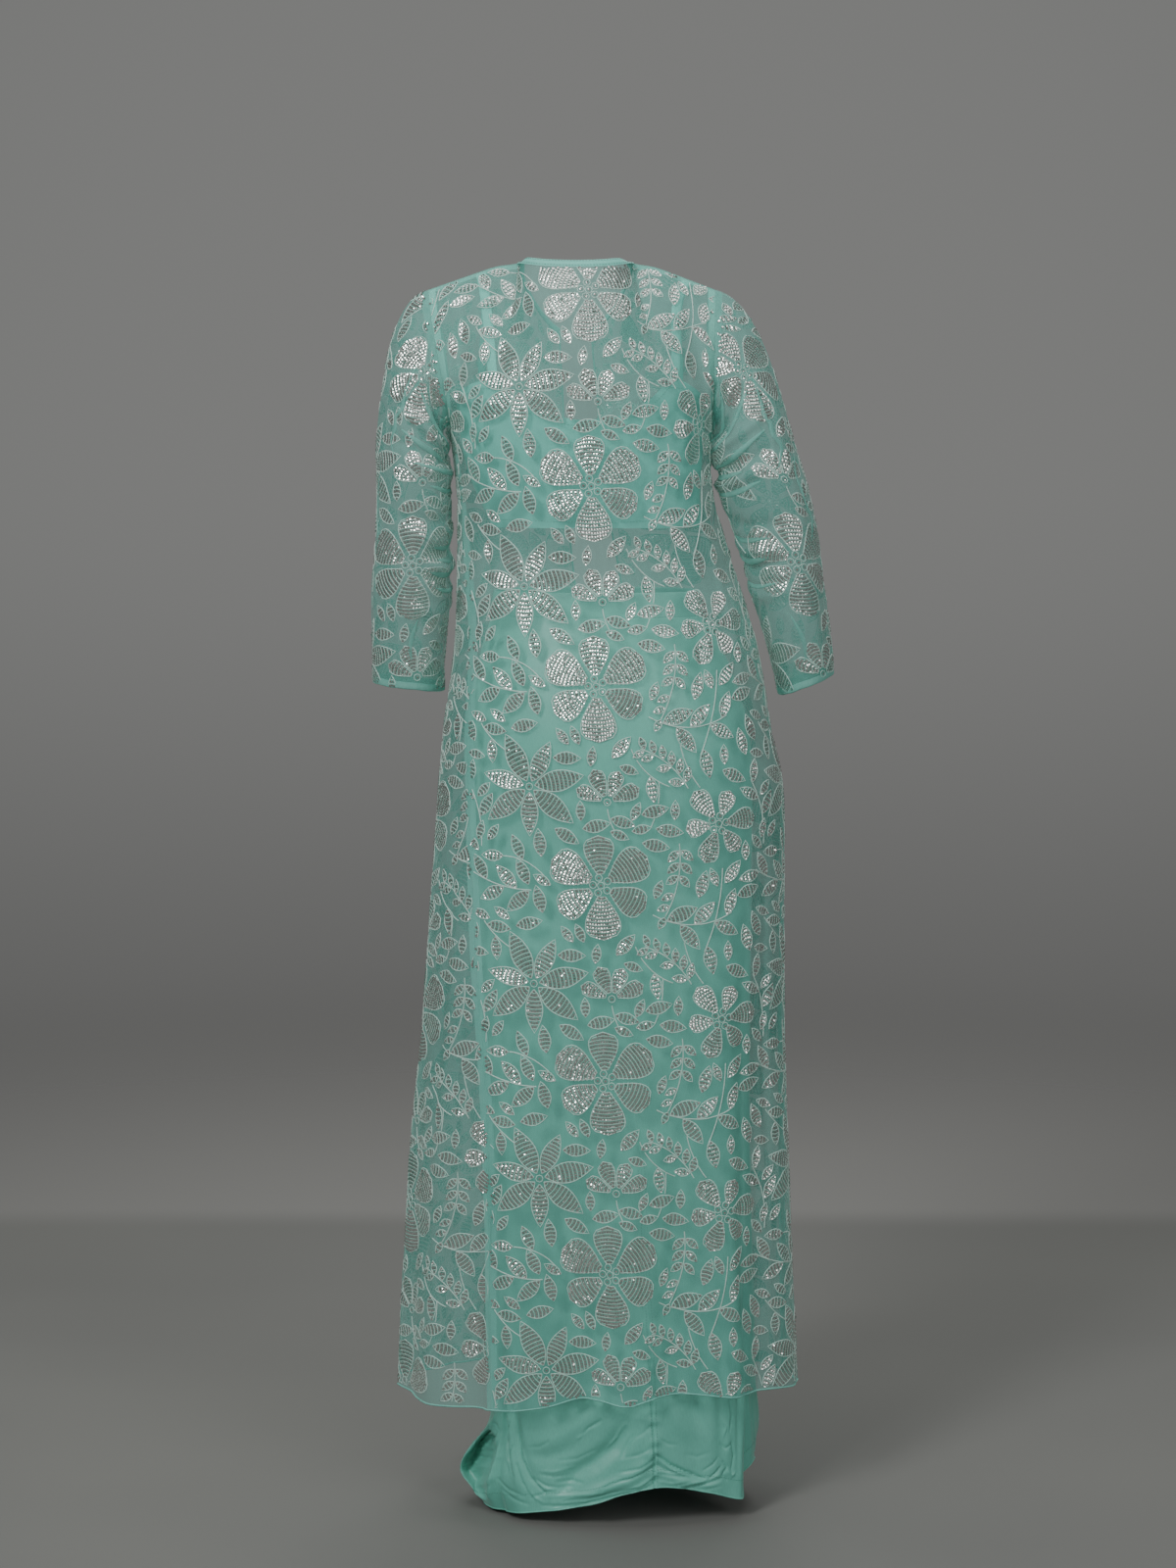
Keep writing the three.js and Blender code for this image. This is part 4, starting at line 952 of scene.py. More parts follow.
def spread(tree, scale, stretch, detail, rough):
    """Noise over the cloth; stretch is how much finer it is along x, y and z."""
    place = add(tree, "ShaderNodeTexCoord")
    size = add(tree, "ShaderNodeMapping")
    size.inputs["Scale"].default_value = stretch
    tree.links.new(place.outputs["Object"], size.inputs["Vector"])
    noise = add(tree, "ShaderNodeTexNoise")
    noise.inputs["Scale"].default_value = scale
    noise.inputs["Detail"].default_value = detail
    noise.inputs["Roughness"].default_value = rough
    tree.links.new(size.outputs["Vector"], noise.inputs["Vector"])
    return noise.outputs["Fac"]


def ramp(tree, source, stops):
    node = add(tree, "ShaderNodeValToRGB")
    line = node.color_ramp
    while len(line.elements) < len(stops):
        line.elements.new(0.5)
    for element, (at, colour) in zip(line.elements, stops):
        element.position = at
        element.color = colour
    tree.links.new(source, node.inputs["Fac"])
    return node.outputs["Color"]


def tones(tree, source, low, high, first=0.3, last=0.7):
    """From one screen colour to another while the source goes from first to last."""
    return ramp(tree, source, [(first, linear(*low)), (last, linear(*high))])


def greys(tree, source, low, high, first=0.3, last=0.7):
    """From one grey level to another while the source goes from first to last."""
    return ramp(tree, source, [(first, (low, low, low, 1)), (last, (high, high, high, 1))])


def blend(tree, kind, amount, a, b):
    node = add(tree, "ShaderNodeMix", data_type="RGBA", blend_type=kind)
    if isinstance(amount, float):
        node.inputs[0].default_value = amount
    else:
        tree.links.new(amount, node.inputs[0])
    for socket, source in ((6, a), (7, b)):
        if isinstance(source, tuple):
            node.inputs[socket].default_value = source
        else:
            tree.links.new(source, node.inputs[socket])
    return node.outputs[2]


def bumps(tree, shader, layers):
    """Stacks bump nodes: each layer is a height, its strength and its depth in metres."""
    last = None
    for source, strength, distance in layers:
        node = add(tree, "ShaderNodeBump")
        node.inputs["Strength"].default_value = strength
        node.inputs["Distance"].default_value = distance
        tree.links.new(source, node.inputs["Height"])
        if last is not None:
            tree.links.new(last, node.inputs["Normal"])
        last = node.outputs["Normal"]
    tree.links.new(last, shader.inputs["Normal"])


def set_inputs(shader, **values):
    """Sets sockets whose names are given with _ for a space."""
    for key, setting in values.items():
        shader.inputs[key.replace("_", " ")].default_value = setting


def georgette(name, alpha, tint=(125, 201, 188), shade=(110, 184, 172)):
    """Sheer cloth: the more alpha, the more it covers."""
    material, tree, shader = nodes_of(name)
    grain = spread(tree, 900, (1, 1, 1), 4, 0.7)
    streak = spread(tree, 30, (6, 6, 0.35), 3, 0.6)
    cloud = spread(tree, 7, (1, 1, 0.6), 2, 0.5)
    lighter = tuple(min(c + 7, 255) for c in tint)
    mottled = tones(tree, cloud, shade, lighter, 0.35, 0.65)
    colour = blend(tree, "MIX", 0.4, tones(tree, streak, shade, tint), mottled)
    speck = greys(tree, grain, 0.86, 1.06, 0.35, 0.62)
    tree.links.new(blend(tree, "MULTIPLY", 1.0, colour, speck), shader.inputs["Base Color"])
    tree.links.new(greys(tree, grain, 0.62, 0.82), shader.inputs["Roughness"])
    bumps(tree, shader, [(streak, 0.25, 0.0012), (grain, 0.35, 0.0004)])
    set_inputs(shader, Alpha=alpha, Sheen_Weight=0.35, Sheen_Roughness=0.4,
               Sheen_Tint=linear(190, 225, 214), Specular_IOR_Level=0.35)
    return material


def plain_cloth(name, tint, shade, rough, sheen, scale=700.0, bump=0.3, gloss=0.4):
    """Opaque cloth; rough holds the least and the most roughness."""
    material, tree, shader = nodes_of(name)
    grain = spread(tree, scale, (1, 1, 1), 4, 0.7)
    thread = spread(tree, 220, (5, 5, 0.6), 3, 0.6)
    pick = spread(tree, 220, (0.5, 0.5, 5), 3, 0.6)
    cloud = spread(tree, 9, (1, 1, 1), 2, 0.5)
    fibre = greys(tree, thread, 0.9, 1.05)
    colour = blend(tree, "MULTIPLY", 1.0, tones(tree, cloud, shade, tint), fibre)
    tree.links.new(colour, shader.inputs["Base Color"])
    tree.links.new(greys(tree, thread, *rough), shader.inputs["Roughness"])
    fine = bump * 0.6
    bumps(tree, shader, [(thread, fine, 0.0005), (pick, fine, 0.0005), (grain, bump, 0.0003)])
    set_inputs(shader, Sheen_Weight=sheen, Sheen_Roughness=0.45,
               Sheen_Tint=linear(200, 230, 220), Specular_IOR_Level=gloss)
    return material


def sequin_metal():
    material, tree, shader = nodes_of("sequins_silver")
    patch = spread(tree, 260, (1, 1, 1), 2, 0.6)
    drift = spread(tree, 16, (1, 1, 1), 2, 0.5)
    silver = (0.25, (204, 210, 204)), (0.5, (226, 228, 224)), (0.75, (245, 243, 240))
    colour = ramp(tree, patch, [(at, linear(*screen)) for at, screen in silver])
    tone = ramp(tree, drift, [(0.35, (0.86, 0.88, 0.86, 1)), (0.65, (1.0, 1.0, 1.0, 1))])
    tree.links.new(blend(tree, "MULTIPLY", 1.0, colour, tone), shader.inputs["Base Color"])
    tree.links.new(greys(tree, patch, 0.14, 0.28), shader.inputs["Roughness"])
    set_inputs(shader, Metallic=0.92)
    return material


def thread_silk():
    material, tree, shader = nodes_of("threads_pale")
    twist = spread(tree, 500, (1, 1, 1), 2, 0.6)
    colour = tones(tree, twist, (176, 212, 200), (214, 234, 226))
    tree.links.new(colour, shader.inputs["Base Color"])
    tree.links.new(greys(tree, twist, 0.4, 0.6), shader.inputs["Roughness"])
    bumps(tree, shader, [(twist, 0.4, 0.0004)])
    set_inputs(shader, Sheen_Weight=0.3)
    return material


SHEER = georgette("georgette_sheer", 0.42)
SHEER_EDGE = georgette("georgette_edge", 0.85, (136, 211, 197), (120, 194, 180))
SHEER_HEM = georgette("georgette_doubled", 0.36, (128, 204, 190), (114, 188, 174))
SHEER_SEAM = georgette("georgette_seam", 0.58, (130, 207, 193), (115, 190, 176))
BODICE = plain_cloth("bodice_crepe", (122, 214, 199), (110, 200, 185), (0.6, 0.78), 0.25)
BINDING = plain_cloth("neck_binding_crepe", (130, 216, 201), (118, 200, 186), (0.5, 0.7), 0.25)
SATIN = plain_cloth("skirt_satin", (118, 199, 181), (106, 185, 167), (0.34, 0.5), 0.35,
                    scale=900.0, bump=0.22, gloss=0.5)
STITCH = plain_cloth("stitches", (86, 146, 132), (76, 134, 120), (0.5, 0.7), 0.1,
                     scale=1200.0, bump=0.4)
SEQUIN = sequin_metal()
THREAD = thread_silk()

# ---------------------------------------------------------------- cloth pieces

pieces = {}


def keep(key, piece, slot):
    pieces[key] = piece
    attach(piece, "root")
    return piece


def dress(key, node, points, material, slot, flip=False):
    """The cloth that a node of the CAD shows."""
    keep(key, cloth(node + "_cloth", points, material, flip), slot)


dress("back", "jacket_back", back, SHEER, "jacket_cloth")
dress("front_left", "jacket_front_left", fronts["left"], SHEER, "jacket_cloth", flip=True)
dress("front_right", "jacket_front_right", fronts["right"], SHEER, "jacket_cloth")
for side in ("left", "right"):
    flip = side == "right"
    dress("sleeve_" + side, "jacket_sleeve_" + side, sleeves[side], SHEER, "jacket_cloth", flip)
    dress("cuff_" + side, "sleeve_hem_" + side, cuffs[side], SHEER_HEM, "jacket_cloth", flip)


# Columns where the shoulder seams end and the neck edges begin.
BACK_CUT = round(BACK_COLUMNS * BACK_SHOULDER)
FRONT_CUT = round(FRONT_COLUMNS * FRONT_SHOULDER)
back_n = normals_of(back)
front_n = {"left": -normals_of(fronts["left"]), "right": normals_of(fronts["right"])}


def neck_row(left, middle, right, row):
    """One row of the three panels along the neck edge, from front to front."""
    middle = middle[row, BACK_CUT:BACK_COLUMNS - BACK_CUT + 1]
    return np.concatenate([left[row, :FRONT_CUT:-1], middle, right[row, FRONT_CUT + 1:]])


# At the shoulders the band lies in the line of the shoulder seam, towards the neck: reach in
# points of the edge, direction of rise and direction outward, for the side +X.
CORNER_REACH, CORNER_RISE, CORNER_OUT = 7.0, (-0.95, -0.1, 0.12), (0.28, 0.0, 0.96)


def neck_path():
    """The neck edge, with its directions upward and outward."""
    panels = fronts["left"], back, fronts["right"]
    edge = neck_row(*panels, -1)
    normal = neck_row(front_n["left"], back_n, front_n["right"], -1)
    along = unit(edge - neck_row(*panels, -5))
    first = FRONT_COLUMNS - FRONT_CUT - 1
    for way, corner in ((-1, first), (1, first + BACK_COLUMNS - 2 * BACK_CUT)):
        share = np.exp(-(((np.arange(len(edge)) - corner) / CORNER_REACH) ** 2))[:, None]
        mirror = np.array([way, 1, 1])
        along = mix(along, mirror * CORNER_RISE, share)
        normal = mix(normal, mirror * CORNER_OUT, share)
    along = unit(along)
    normal -= along * (along * normal).sum(1)[:, None]
    return edge, along, unit(normal)


# The neck band carries on from the panels' neck edges: a folded strip with a soft roll.
# Its profile and that of the straps are in millimetres, along and out of the cloth.
BAND_PROFILE = [
    (-1.2, 0.35), (0.4, 0.7), (3, 0.9), (6, 0.8), (7.7, 0.3), (8.1, -0.4), (7.7, -1.1),
    (5, -1.4), (1, -1.4),
]
STRAP_PROFILE = [
    (-6, -0.5), (-5.6, 0.1), (-2, 0.35), (2, 0.35), (5.6, 0.1), (6, -0.5), (5.6, -1.0),
    (-5.6, -1.0), (-6, -0.5),
]
edge, rising, outward = neck_path()
band = np.array([edge + rising * up + outward * out for up, out in BAND_PROFILE])
dress("band", "neck_binding", band, BINDING, "bodice_cloth")

bodice_back, bodice_front = bodice(-89, 89), bodice(89, 271)
dress("bodice_back", "bodice_back", bodice_back, BODICE, "bodice_cloth")
dress("bodice_front", "bodice_front", bodice_front, BODICE, "bodice_cloth")

for side in ("left", "right"):
    path, along, normal = strap(side)
    ribbon = [path + along * across + normal * (out - 0.4) for across, out in STRAP_PROFILE]
    node = "bodice_strap_" + side
    dress("strap_" + side, node, np.array(ribbon), BODICE, "bodice_cloth", flip=True)

LEFT_COLUMNS, RIGHT_COLUMNS, AHEAD_COLUMNS = 166, 124, 176
skirt_left = skirt_panel(LEFT_COLUMNS, 1, 2, 0)
skirt_right = skirt_panel(RIGHT_COLUMNS, 2, 3, 0)
skirt_front = skirt_panel(AHEAD_COLUMNS, 3, 1, 360, crowd=0.75)
dress("skirt_left", "skirt_back_left", skirt_left, SATIN, "skirt_cloth")
dress("skirt_right", "skirt_back_right", skirt_right, SATIN, "skirt_cloth")
dress("skirt_front", "skirt_front", skirt_front, SATIN, "skirt_cloth")
dress("waistband", "skirt_waistband", waistband(), SATIN, "skirt_cloth")

# ---------------------------------------------------------------- seams, hems and stitches

ALLOWANCE_DEPTH = 0.7
ARMHOLE_WIDTH, SEAM_WIDTH, UNDERARM_WIDTH = 9, 8, 7


def strip(points, inner, outward, width):
    """A seam allowance: a narrow band along an edge, on the inner side of the cloth."""
    way, inside = unit(inner - points), outward * ALLOWANCE_DEPTH
    return np.array([points + way * w - inside for w in (0.2, width * 0.5, width)])


above, below = slice(LOW_ROWS, None), slice(0, LOW_ROWS + 1)
allowances, armholes = [], []
for side, column, inner in (("left", 0, 4), ("right", -1, -5)):
    panel, n = fronts[side], front_n[side]
    for rows, strips, width in ((above, armholes, ARMHOLE_WIDTH), (below, allowances, SEAM_WIDTH)):
        strips.append(strip(back[rows, column], back[rows, inner], back_n[rows, column], width))
        strips.append(strip(panel[rows, 0], panel[rows, 4], n[rows, 0], width))
    # shoulder seam
    line = slice(0, BACK_CUT + 1) if side == "left" else slice(BACK_COLUMNS - BACK_CUT, None)
    allowances.append(strip(back[-1, line], back[-4, line], back_n[-1, line], SEAM_WIDTH))
    line = slice(0, FRONT_CUT + 1)
    allowances.append(strip(panel[-1, line], panel[-4, line], n[-1, line], SEAM_WIDTH))
    # sleeve side of the armhole, and the sleeve's underarm seam
    arm, arm_n = sleeves[side], sleeve_normals(sleeves[side], side)
    allowances.append(strip(arm[0], arm[5], arm_n[0], ARMHOLE_WIDTH))
    allowances.append(strip(arm[:, 0], arm[:, 3], arm_n[:, 0], UNDERARM_WIDTH))
keep("seams", merged("jacket_seam_allowances", allowances, SHEER_SEAM), "jacket_cloth")
cuff_edges = [cuffs[side][5:11] + sleeve_normals(cuffs[side], side)[5:11] * 0.4 for side in cuffs]
keep("cuff_edges", merged("sleeve_hem_edges", cuff_edges, SHEER_EDGE), "jacket_cloth")
keep("armholes", merged("armhole_seam_allowances", armholes, SHEER_EDGE), "jacket_cloth")

left_front, right_front = fronts["left"], fronts["right"]
hem_line = np.concatenate([left_front[0, ::-1], back[0, 1:], right_front[0, 1:]])
rolled = [hem_line, left_front[:, -1], right_front[:, -1]]
keep("rolled", tube("jacket_rolled_hem", rolled, 1.1, SHEER_EDGE), "jacket_cloth")

STITCH_LENGTH, STITCH_GAP = 2.4, 1.3


def stitches(name, lines, radius=0.28, lift=0.35):
    """Short raised stitches along lines of points, each line with its outward directions."""
    paths = []
    for path, normal in lines:
        run = run_along(path)
        for s in np.arange(0, run[-1] - STITCH_LENGTH, STITCH_LENGTH + STITCH_GAP):
            at = s + np.array([0, 0.5, 1]) * STITCH_LENGTH
            p, n = (
                np.stack([np.interp(at, run, field[:, k]) for k in range(3)], 1)
                for field in (path, normal)
            )
            paths.append(p + n * (np.array([-0.1, lift, -0.1])[:, None]))
    return tube(name, paths, radius, STITCH, sides=4)


stitch_lines = [
    (edge + rising * 1.0 + outward * 0.8, outward),
    (edge + rising * 6.6 + outward * 0.85, outward),
]
for row in (-3, 2):
    for panel in (bodice_back, bodice_front):
        stitch_lines.append((panel[row], normals_of(panel)[row]))
keep("bodice_stitches", stitches("bodice_and_neck_stitches", stitch_lines), "bodice_cloth")


def row_at(panel, rise):
    """The line at a height above a panel's hem, with its outward directions."""
    pick = (run_up(panel) < rise).sum(0)
    columns = np.arange(panel.shape[1])
    return panel[pick, columns], normals_of(panel)[pick, columns]


HEM_STITCHES, SEAM_ROWS = 22.0, slice(4, 126)
hem_stitches = [row_at(panel, HEM_STITCHES) for panel in (skirt_left, skirt_right, skirt_front)]
for panel, column in ((skirt_left, -3), (skirt_right, 3)):
    hem_stitches.append((panel[SEAM_ROWS, column], normals_of(panel)[SEAM_ROWS, column]))
keep("skirt_stitches", stitches("skirt_stitches", hem_stitches, 0.24, 0.22), "skirt_cloth")
skirt_hem = np.concatenate([skirt_left[0], skirt_right[0, 1:], skirt_front[0, 1:]])
keep("skirt_edge", tube("skirt_hem_edge", [skirt_hem], 1.0, SATIN), "skirt_cloth")

# ---------------------------------------------------------------- embroidery
# One repeat of an ordinary flower trellis, composed by rule in millimetres from the
# middle of its largest flower, x to the right and y up.

REPEAT_ACROSS, REPEAT_UP = 360.0, 237.5
PERIOD = np.array([REPEAT_ACROSS, REPEAT_UP])
# How far one repeat's work reaches to the right, to the left, up and down from its start.
MOTIF_REACH = (210, 170, 190, 80)
ROW_PITCH, FINE_PITCH, SEQUIN_PITCH, SEQUIN_RADIUS = 5.0, 4.4, 3.3, 1.7

# middle x, y; petals; first direction and turn between them in degrees; radius of the
# heart; reach and width of the odd and of the even petals; kind
FLOWERS = [
    (0, 0, 6, 32, 60, 14, (66, 43), (60, 36), "round"),
    (-84, 118, 7, 12, 360 / 7, 7, (68, 25), (60, 21), "point"),
    (10, 100, 4, 24, 44, 8, (42, 20), (40, 18), "round"),
    (146, 72, 6, 8, 60, 12, (50, 26), (42, 22), "round"),
]
# start x, y; direction and bend in degrees; length; leaves; their length and width;
# how far they stand off the stem in degrees; whether they stand in pairs
SPRIGS = [
    (-70, -6, 186, -36, 96, 5, 38, 17, 40, False),
    (-66, 8, 128, 52, 60, 3, 34, 15, 44, False),
    (62, -36, -30, 60, 104, 5, 40, 18, 42, False),
    (150, 18, -92, -24, 104, 5, 42, 20, 36, False),
    (10, 92, -84, 26, 34, 2, 30, 14, 58, False),
    (108, 116, 118, 44, 76, 6, 19, 10, 48, True),
    (96, 50, -84, -36, 92, 7, 19, 10, 48, True),
    (-148, 44, 84, 40, 84, 4, 34, 15, 42, False),
    (40, -74, -70, 50, 66, 3, 34, 15, 40, False),
    (-34, -74, -108, -20, 50, 3, 34, 15, 42, False),
    (62, 70, 64, 30, 56, 3, 30, 14, 46, False),
    (-150, -40, -60, 40, 70, 4, 30, 14, 44, False),
    (100, -70, -80, 30, 60, 4, 30, 14, 44, False),
]
# Single leaves in the open ground: length, width, spacing of the places tried
FILLERS = [(34, 15, 17), (24, 11, 13)]
EYES, EYE_RADIUS, EYE_RING = 5, 4.3, 9.5
# Room between shapes, steps in a stem, and widths of the threads.
CLEAR = 2.2
STEM_STEPS, STEM_STEP, RIM_STEP = 12, 3.5, 5.0
STEM_THREAD, RIM_THREAD, RING_THREAD, ROW_THREAD = 1.3, 1.1, 0.9, 0.85


def half_width(kind, t):
    """Half the width of a petal or leaf along its length, as a share of the widest place."""
    t = np.clip(t, 0, 1)
    if kind == "round":
        swell = 0.22 + 0.78 * np.sin(np.clip(t / 0.70, 0, 1) * math.pi / 2) ** 1.15
        cap = np.sqrt(np.clip(1 - (np.clip(t - 0.70, 0, 1) / 0.30) ** 2, 0, 1))
        return swell * cap
    return np.sin(math.pi * t ** 0.9) ** 0.92


def heading(degrees):
    return np.array([math.cos(math.radians(degrees)), math.sin(math.radians(degrees))])


def quarter(d):
    """A direction turned a quarter to its left."""
    return np.array([-d[1], d[0]])


def nearest(q):
    """Offsets to the nearest repeat."""
    return q - np.round(q / PERIOD) * PERIOD


def sprig_path(x, y, direction, bend, length):
    points = [np.array([x, y], float)]
    for k in range(STEM_STEPS):
        way = heading(direction + bend * (k + 0.5) / STEM_STEPS)
        points.append(points[-1] + way * length / STEM_STEPS)
    return np.array(points)


def covered(spots, shapes, clear):
    """Which spots lie on a worked shape, in this repeat or in the next ones."""
    out = np.zeros(len(spots), bool)
    for start, d, length, width, kind in shapes:
        q = nearest(spots - (start + d * length / 2))
        t = (q @ d) / length + 0.5
        inside = np.abs(q @ quarter(d)) < half_width(kind, t) * width / 2 + clear
        out |= (t > -0.02) & (t < 1.02) & inside
    return out


def crowded(shape, shapes, hearts):
    start, d, length, width, kind = shape
    t = np.linspace(0.06, 1, 11)
    reach = quarter(d) * (half_width(kind, t) * width / 2)[:, None]
    axis = start + d * (t * length)[:, None]
    tests = np.concatenate([axis, axis + reach, axis - reach])
    for x, y, radius in hearts:
        q = nearest(tests - np.array([x, y]))
        if (np.hypot(q[:, 0], q[:, 1]) < radius + CLEAR).any():
            return True
    return covered(tests, shapes, CLEAR).any()


def motif():
    """Petals and leaves, stems and rings of one repeat."""
    shapes, stems, rings = [], [], []
    for x, y, count, first, turn, heart, odd, even, kind in FLOWERS:
        for k in range(count):
            reach, width = (odd, even)[k % 2]
            d = heading(first + turn * k)
            shapes.append((np.array([x, y]) + d * heart, d, reach - heart, width, kind))
        rings.append((x, y, EYE_RADIUS))
        if kind == "round" and count > 4:
            for k in range(EYES):
                rings.append((*(heading(360 / EYES * k + first) * EYE_RING + (x, y)), EYE_RADIUS))
    hearts = [(x, y, heart) for x, y, _, _, _, heart, *_ in FLOWERS]

    def offer(shape):
        if not crowded(shape, shapes, hearts):
            shapes.append(shape)

    for x, y, direction, bend, length, count, leaf, width, off, paired in SPRIGS:
        path = sprig_path(x, y, direction, bend, length)
        for k in range(count):
            share = (k + 0.7) / count
            root = path[min(round(share * STEM_STEPS), STEM_STEPS)]
            size = leaf * (1 - 0.22 * k / count)
            for way in ((-1, 1) if paired else ((-1) ** k,)):
                d = heading(direction + bend * share + way * off)
                offer((root + d * 2.0, d, size, width * size / leaf, "point"))
        d = heading(direction + bend)
        offer((path[-1] + d, d, leaf * 0.85, width * 0.9, "point"))
        stems.append(path)
    for leaf, width, spacing in FILLERS:
        for row, y in enumerate(np.arange(0, REPEAT_UP, spacing)):
            for x in np.arange(0, REPEAT_ACROSS, spacing):
                d = heading(50 + 70 * math.sin(x / 41 + row) + 40 * math.cos(y / 33))
                offer((np.array([x, y]), d, leaf, width, "point"))
    return shapes, stems, rings


def chart():
    """Sequin places and thread lines of one repeat, in millimetres."""
    shapes, stems, rings = motif()
    sequins, threads = [], []
    for path in stems:
        line = smooth_line(path, STEM_STEP)
        bare = ~covered(line, shapes, -0.5)
        cuts = np.flatnonzero(np.diff(np.concatenate([[0], bare.astype(int), [0]])))
        for low, high in zip(cuts[::2], cuts[1::2]):
            if high - low > 2:
                threads.append((line[low:high], STEM_THREAD))
    for x, y, radius in rings:
        turn = np.linspace(0, 2 * math.pi, 9)
        circle = radius * np.stack([np.cos(turn), np.sin(turn)], 1)
        threads.append((np.array([x, y]) + circle, RING_THREAD))
        sequins.append(np.array([[x, y, 0.0]]))
    for start, d, length, width, kind in shapes:
        side = quarter(d)
        t = np.linspace(0, 1, max(int(length / RIM_STEP), 5) + 1)
        h = half_width(kind, t) * width / 2
        axis = start + d * (t * length)[:, None]
        rim = np.concatenate([axis + side * h[:, None], (axis - side * h[:, None])[::-1][1:]])
        if kind == "round":
            rim = np.concatenate([rim, rim[:1]])
        threads.append((rim, RIM_THREAD))
        bow = 2.6 if kind == "round" else 1.2
        rows = max(int(round(length / (FINE_PITCH if kind == "round" else ROW_PITCH))), 2)
        at = (np.arange(rows) + 0.5) / rows * length
        for k, s in enumerate(at):
            h = float(half_width(kind, s / length)) * width / 2 - 1.2
            if h < 0.6:
                continue
            count = max(int(round(2 * h / SEQUIN_PITCH)), 1)
            place = (np.arange(count) - (count - 1) / 2) * min(SEQUIN_PITCH, 2 * h / count)
            arch = -bow * (place / max(h, 2.0)) ** 2
            spots = start + d * (s + arch)[:, None] + side * place[:, None]
            turn = np.full((count, 1), math.atan2(d[1], d[0]))
            sequins.append(np.concatenate([spots, turn], 1))
            if k < rows - 1:
                m = (s + at[k + 1]) / 2
                h = float(half_width(kind, m / length)) * width / 2 - 0.2
                across = np.linspace(-h, h, 5 if h > 7 else 3)
                arch = -bow * (across / max(h, 2.0)) ** 2
                line = start + d * (m + arch)[:, None] + side * across[:, None]
                threads.append((line, ROW_THREAD))
    return np.concatenate(sequins), threads


def smooth_line(path, step):
    """A rounder line through a few points."""
    path = np.asarray(path, float)
    if len(path) > 2:
        for _ in range(2):
            q = mix(path[:-1], path[1:], 0.25)
            r = mix(path[:-1], path[1:], 0.75)
            path = np.concatenate([path[:1], np.stack([q, r], 1).reshape(-1, 2), path[-1:]])
    run = run_along(path)
    at = np.linspace(0, run[-1], max(int(run[-1] / step), 2) + 1)
    return np.stack([np.interp(at, run, path[:, 0]), np.interp(at, run, path[:, 1])], 1)


SEQUINS, THREADS = chart()


class Ground:
    """Carries flat places (across, up) onto a panel of cloth."""

    def __init__(self, points, normals, u, v, step=4.0):
        along = np.gradient(points, axis=1)
        along = unit(along - normals * (along * normals).sum(-1, keepdims=True))
        fields = np.concatenate([points, normals, along], -1)
        if v[0, 0] > v[-1, 0]:
            fields, u, v = fields[::-1], u[::-1], v[::-1]
        self.v0, self.u0, self.step = v.min(), u.min(), step
        vs = np.arange(self.v0, v.max(), step)
        us = np.arange(self.u0, u.max(), step)
        columns = v.shape[1]
        by_row = np.full((len(vs), columns, 9), np.nan)
        u_at = np.zeros((len(vs), columns))
        for c in range(columns):
            for k in range(9):
                by_row[:, c, k] = np.interp(vs, v[:, c], fields[:, c, k], left=np.nan, right=np.nan)
            u_at[:, c] = np.interp(vs, v[:, c], u[:, c])
        grid = np.full((len(vs), len(us), 9), np.nan)
        for r in range(len(vs)):
            for k in range(9):
                grid[r, :, k] = np.interp(us, u_at[r], by_row[r, :, k], left=np.nan, right=np.nan)
        self.grid = grid

    def at(self, u, v):
        x, y = (u - self.u0) / self.step, (v - self.v0) / self.step
        rows, columns = self.grid.shape[:2]
        inside = (x >= 0) & (y >= 0) & (x < columns - 1) & (y < rows - 1)
        x, y = np.where(inside, x, 0), np.where(inside, y, 0)
        c, r = np.floor(x).astype(int), np.floor(y).astype(int)
        fx, fy = (x - c)[:, None], (y - r)[:, None]
        g = self.grid
        out = mix(mix(g[r, c], g[r, c + 1], fx), mix(g[r + 1, c], g[r + 1, c + 1], fx), fy)
        out[~inside] = np.nan
        p, n, a = out[:, :3], out[:, 3:6], out[:, 6:]
        n = unit(n)
        return p, n, unit(a - n * (a * n).sum(1)[:, None])


def repeats(ground, v_first, shift):
    """Where the repeats of the chart lie on a panel."""
    height, width = (count * ground.step for count in ground.grid.shape[:2])
    right, left, up, down = MOTIF_REACH
    for i in range(-3, 4):
        for j in range(-9, 9):
            u, v = shift + i * REPEAT_ACROSS, v_first + j * REPEAT_UP
            if u + right < ground.u0 or u - left > ground.u0 + width:
                continue
            if v + up < ground.v0 or v - down > ground.v0 + height:
                continue
            yield u, v


# Sequins overlap along their row, so a whole petal leans one way and flashes together.
# A few hang loose and tilt more. Lean and tilt are rise over run; the rest millimetres.
SEQUIN_LEAN, SEQUIN_TILT, SEQUIN_WAVE = 0.17, 0.055, 0.05
LOOSE_SHARE, LOOSE_TILT = 0.12, 4.5
RIM_LIFT, HEART_LIFT, SEQUIN_FLAT = 1.0, 0.72, 1.55
SIXTH = math.pi / 3


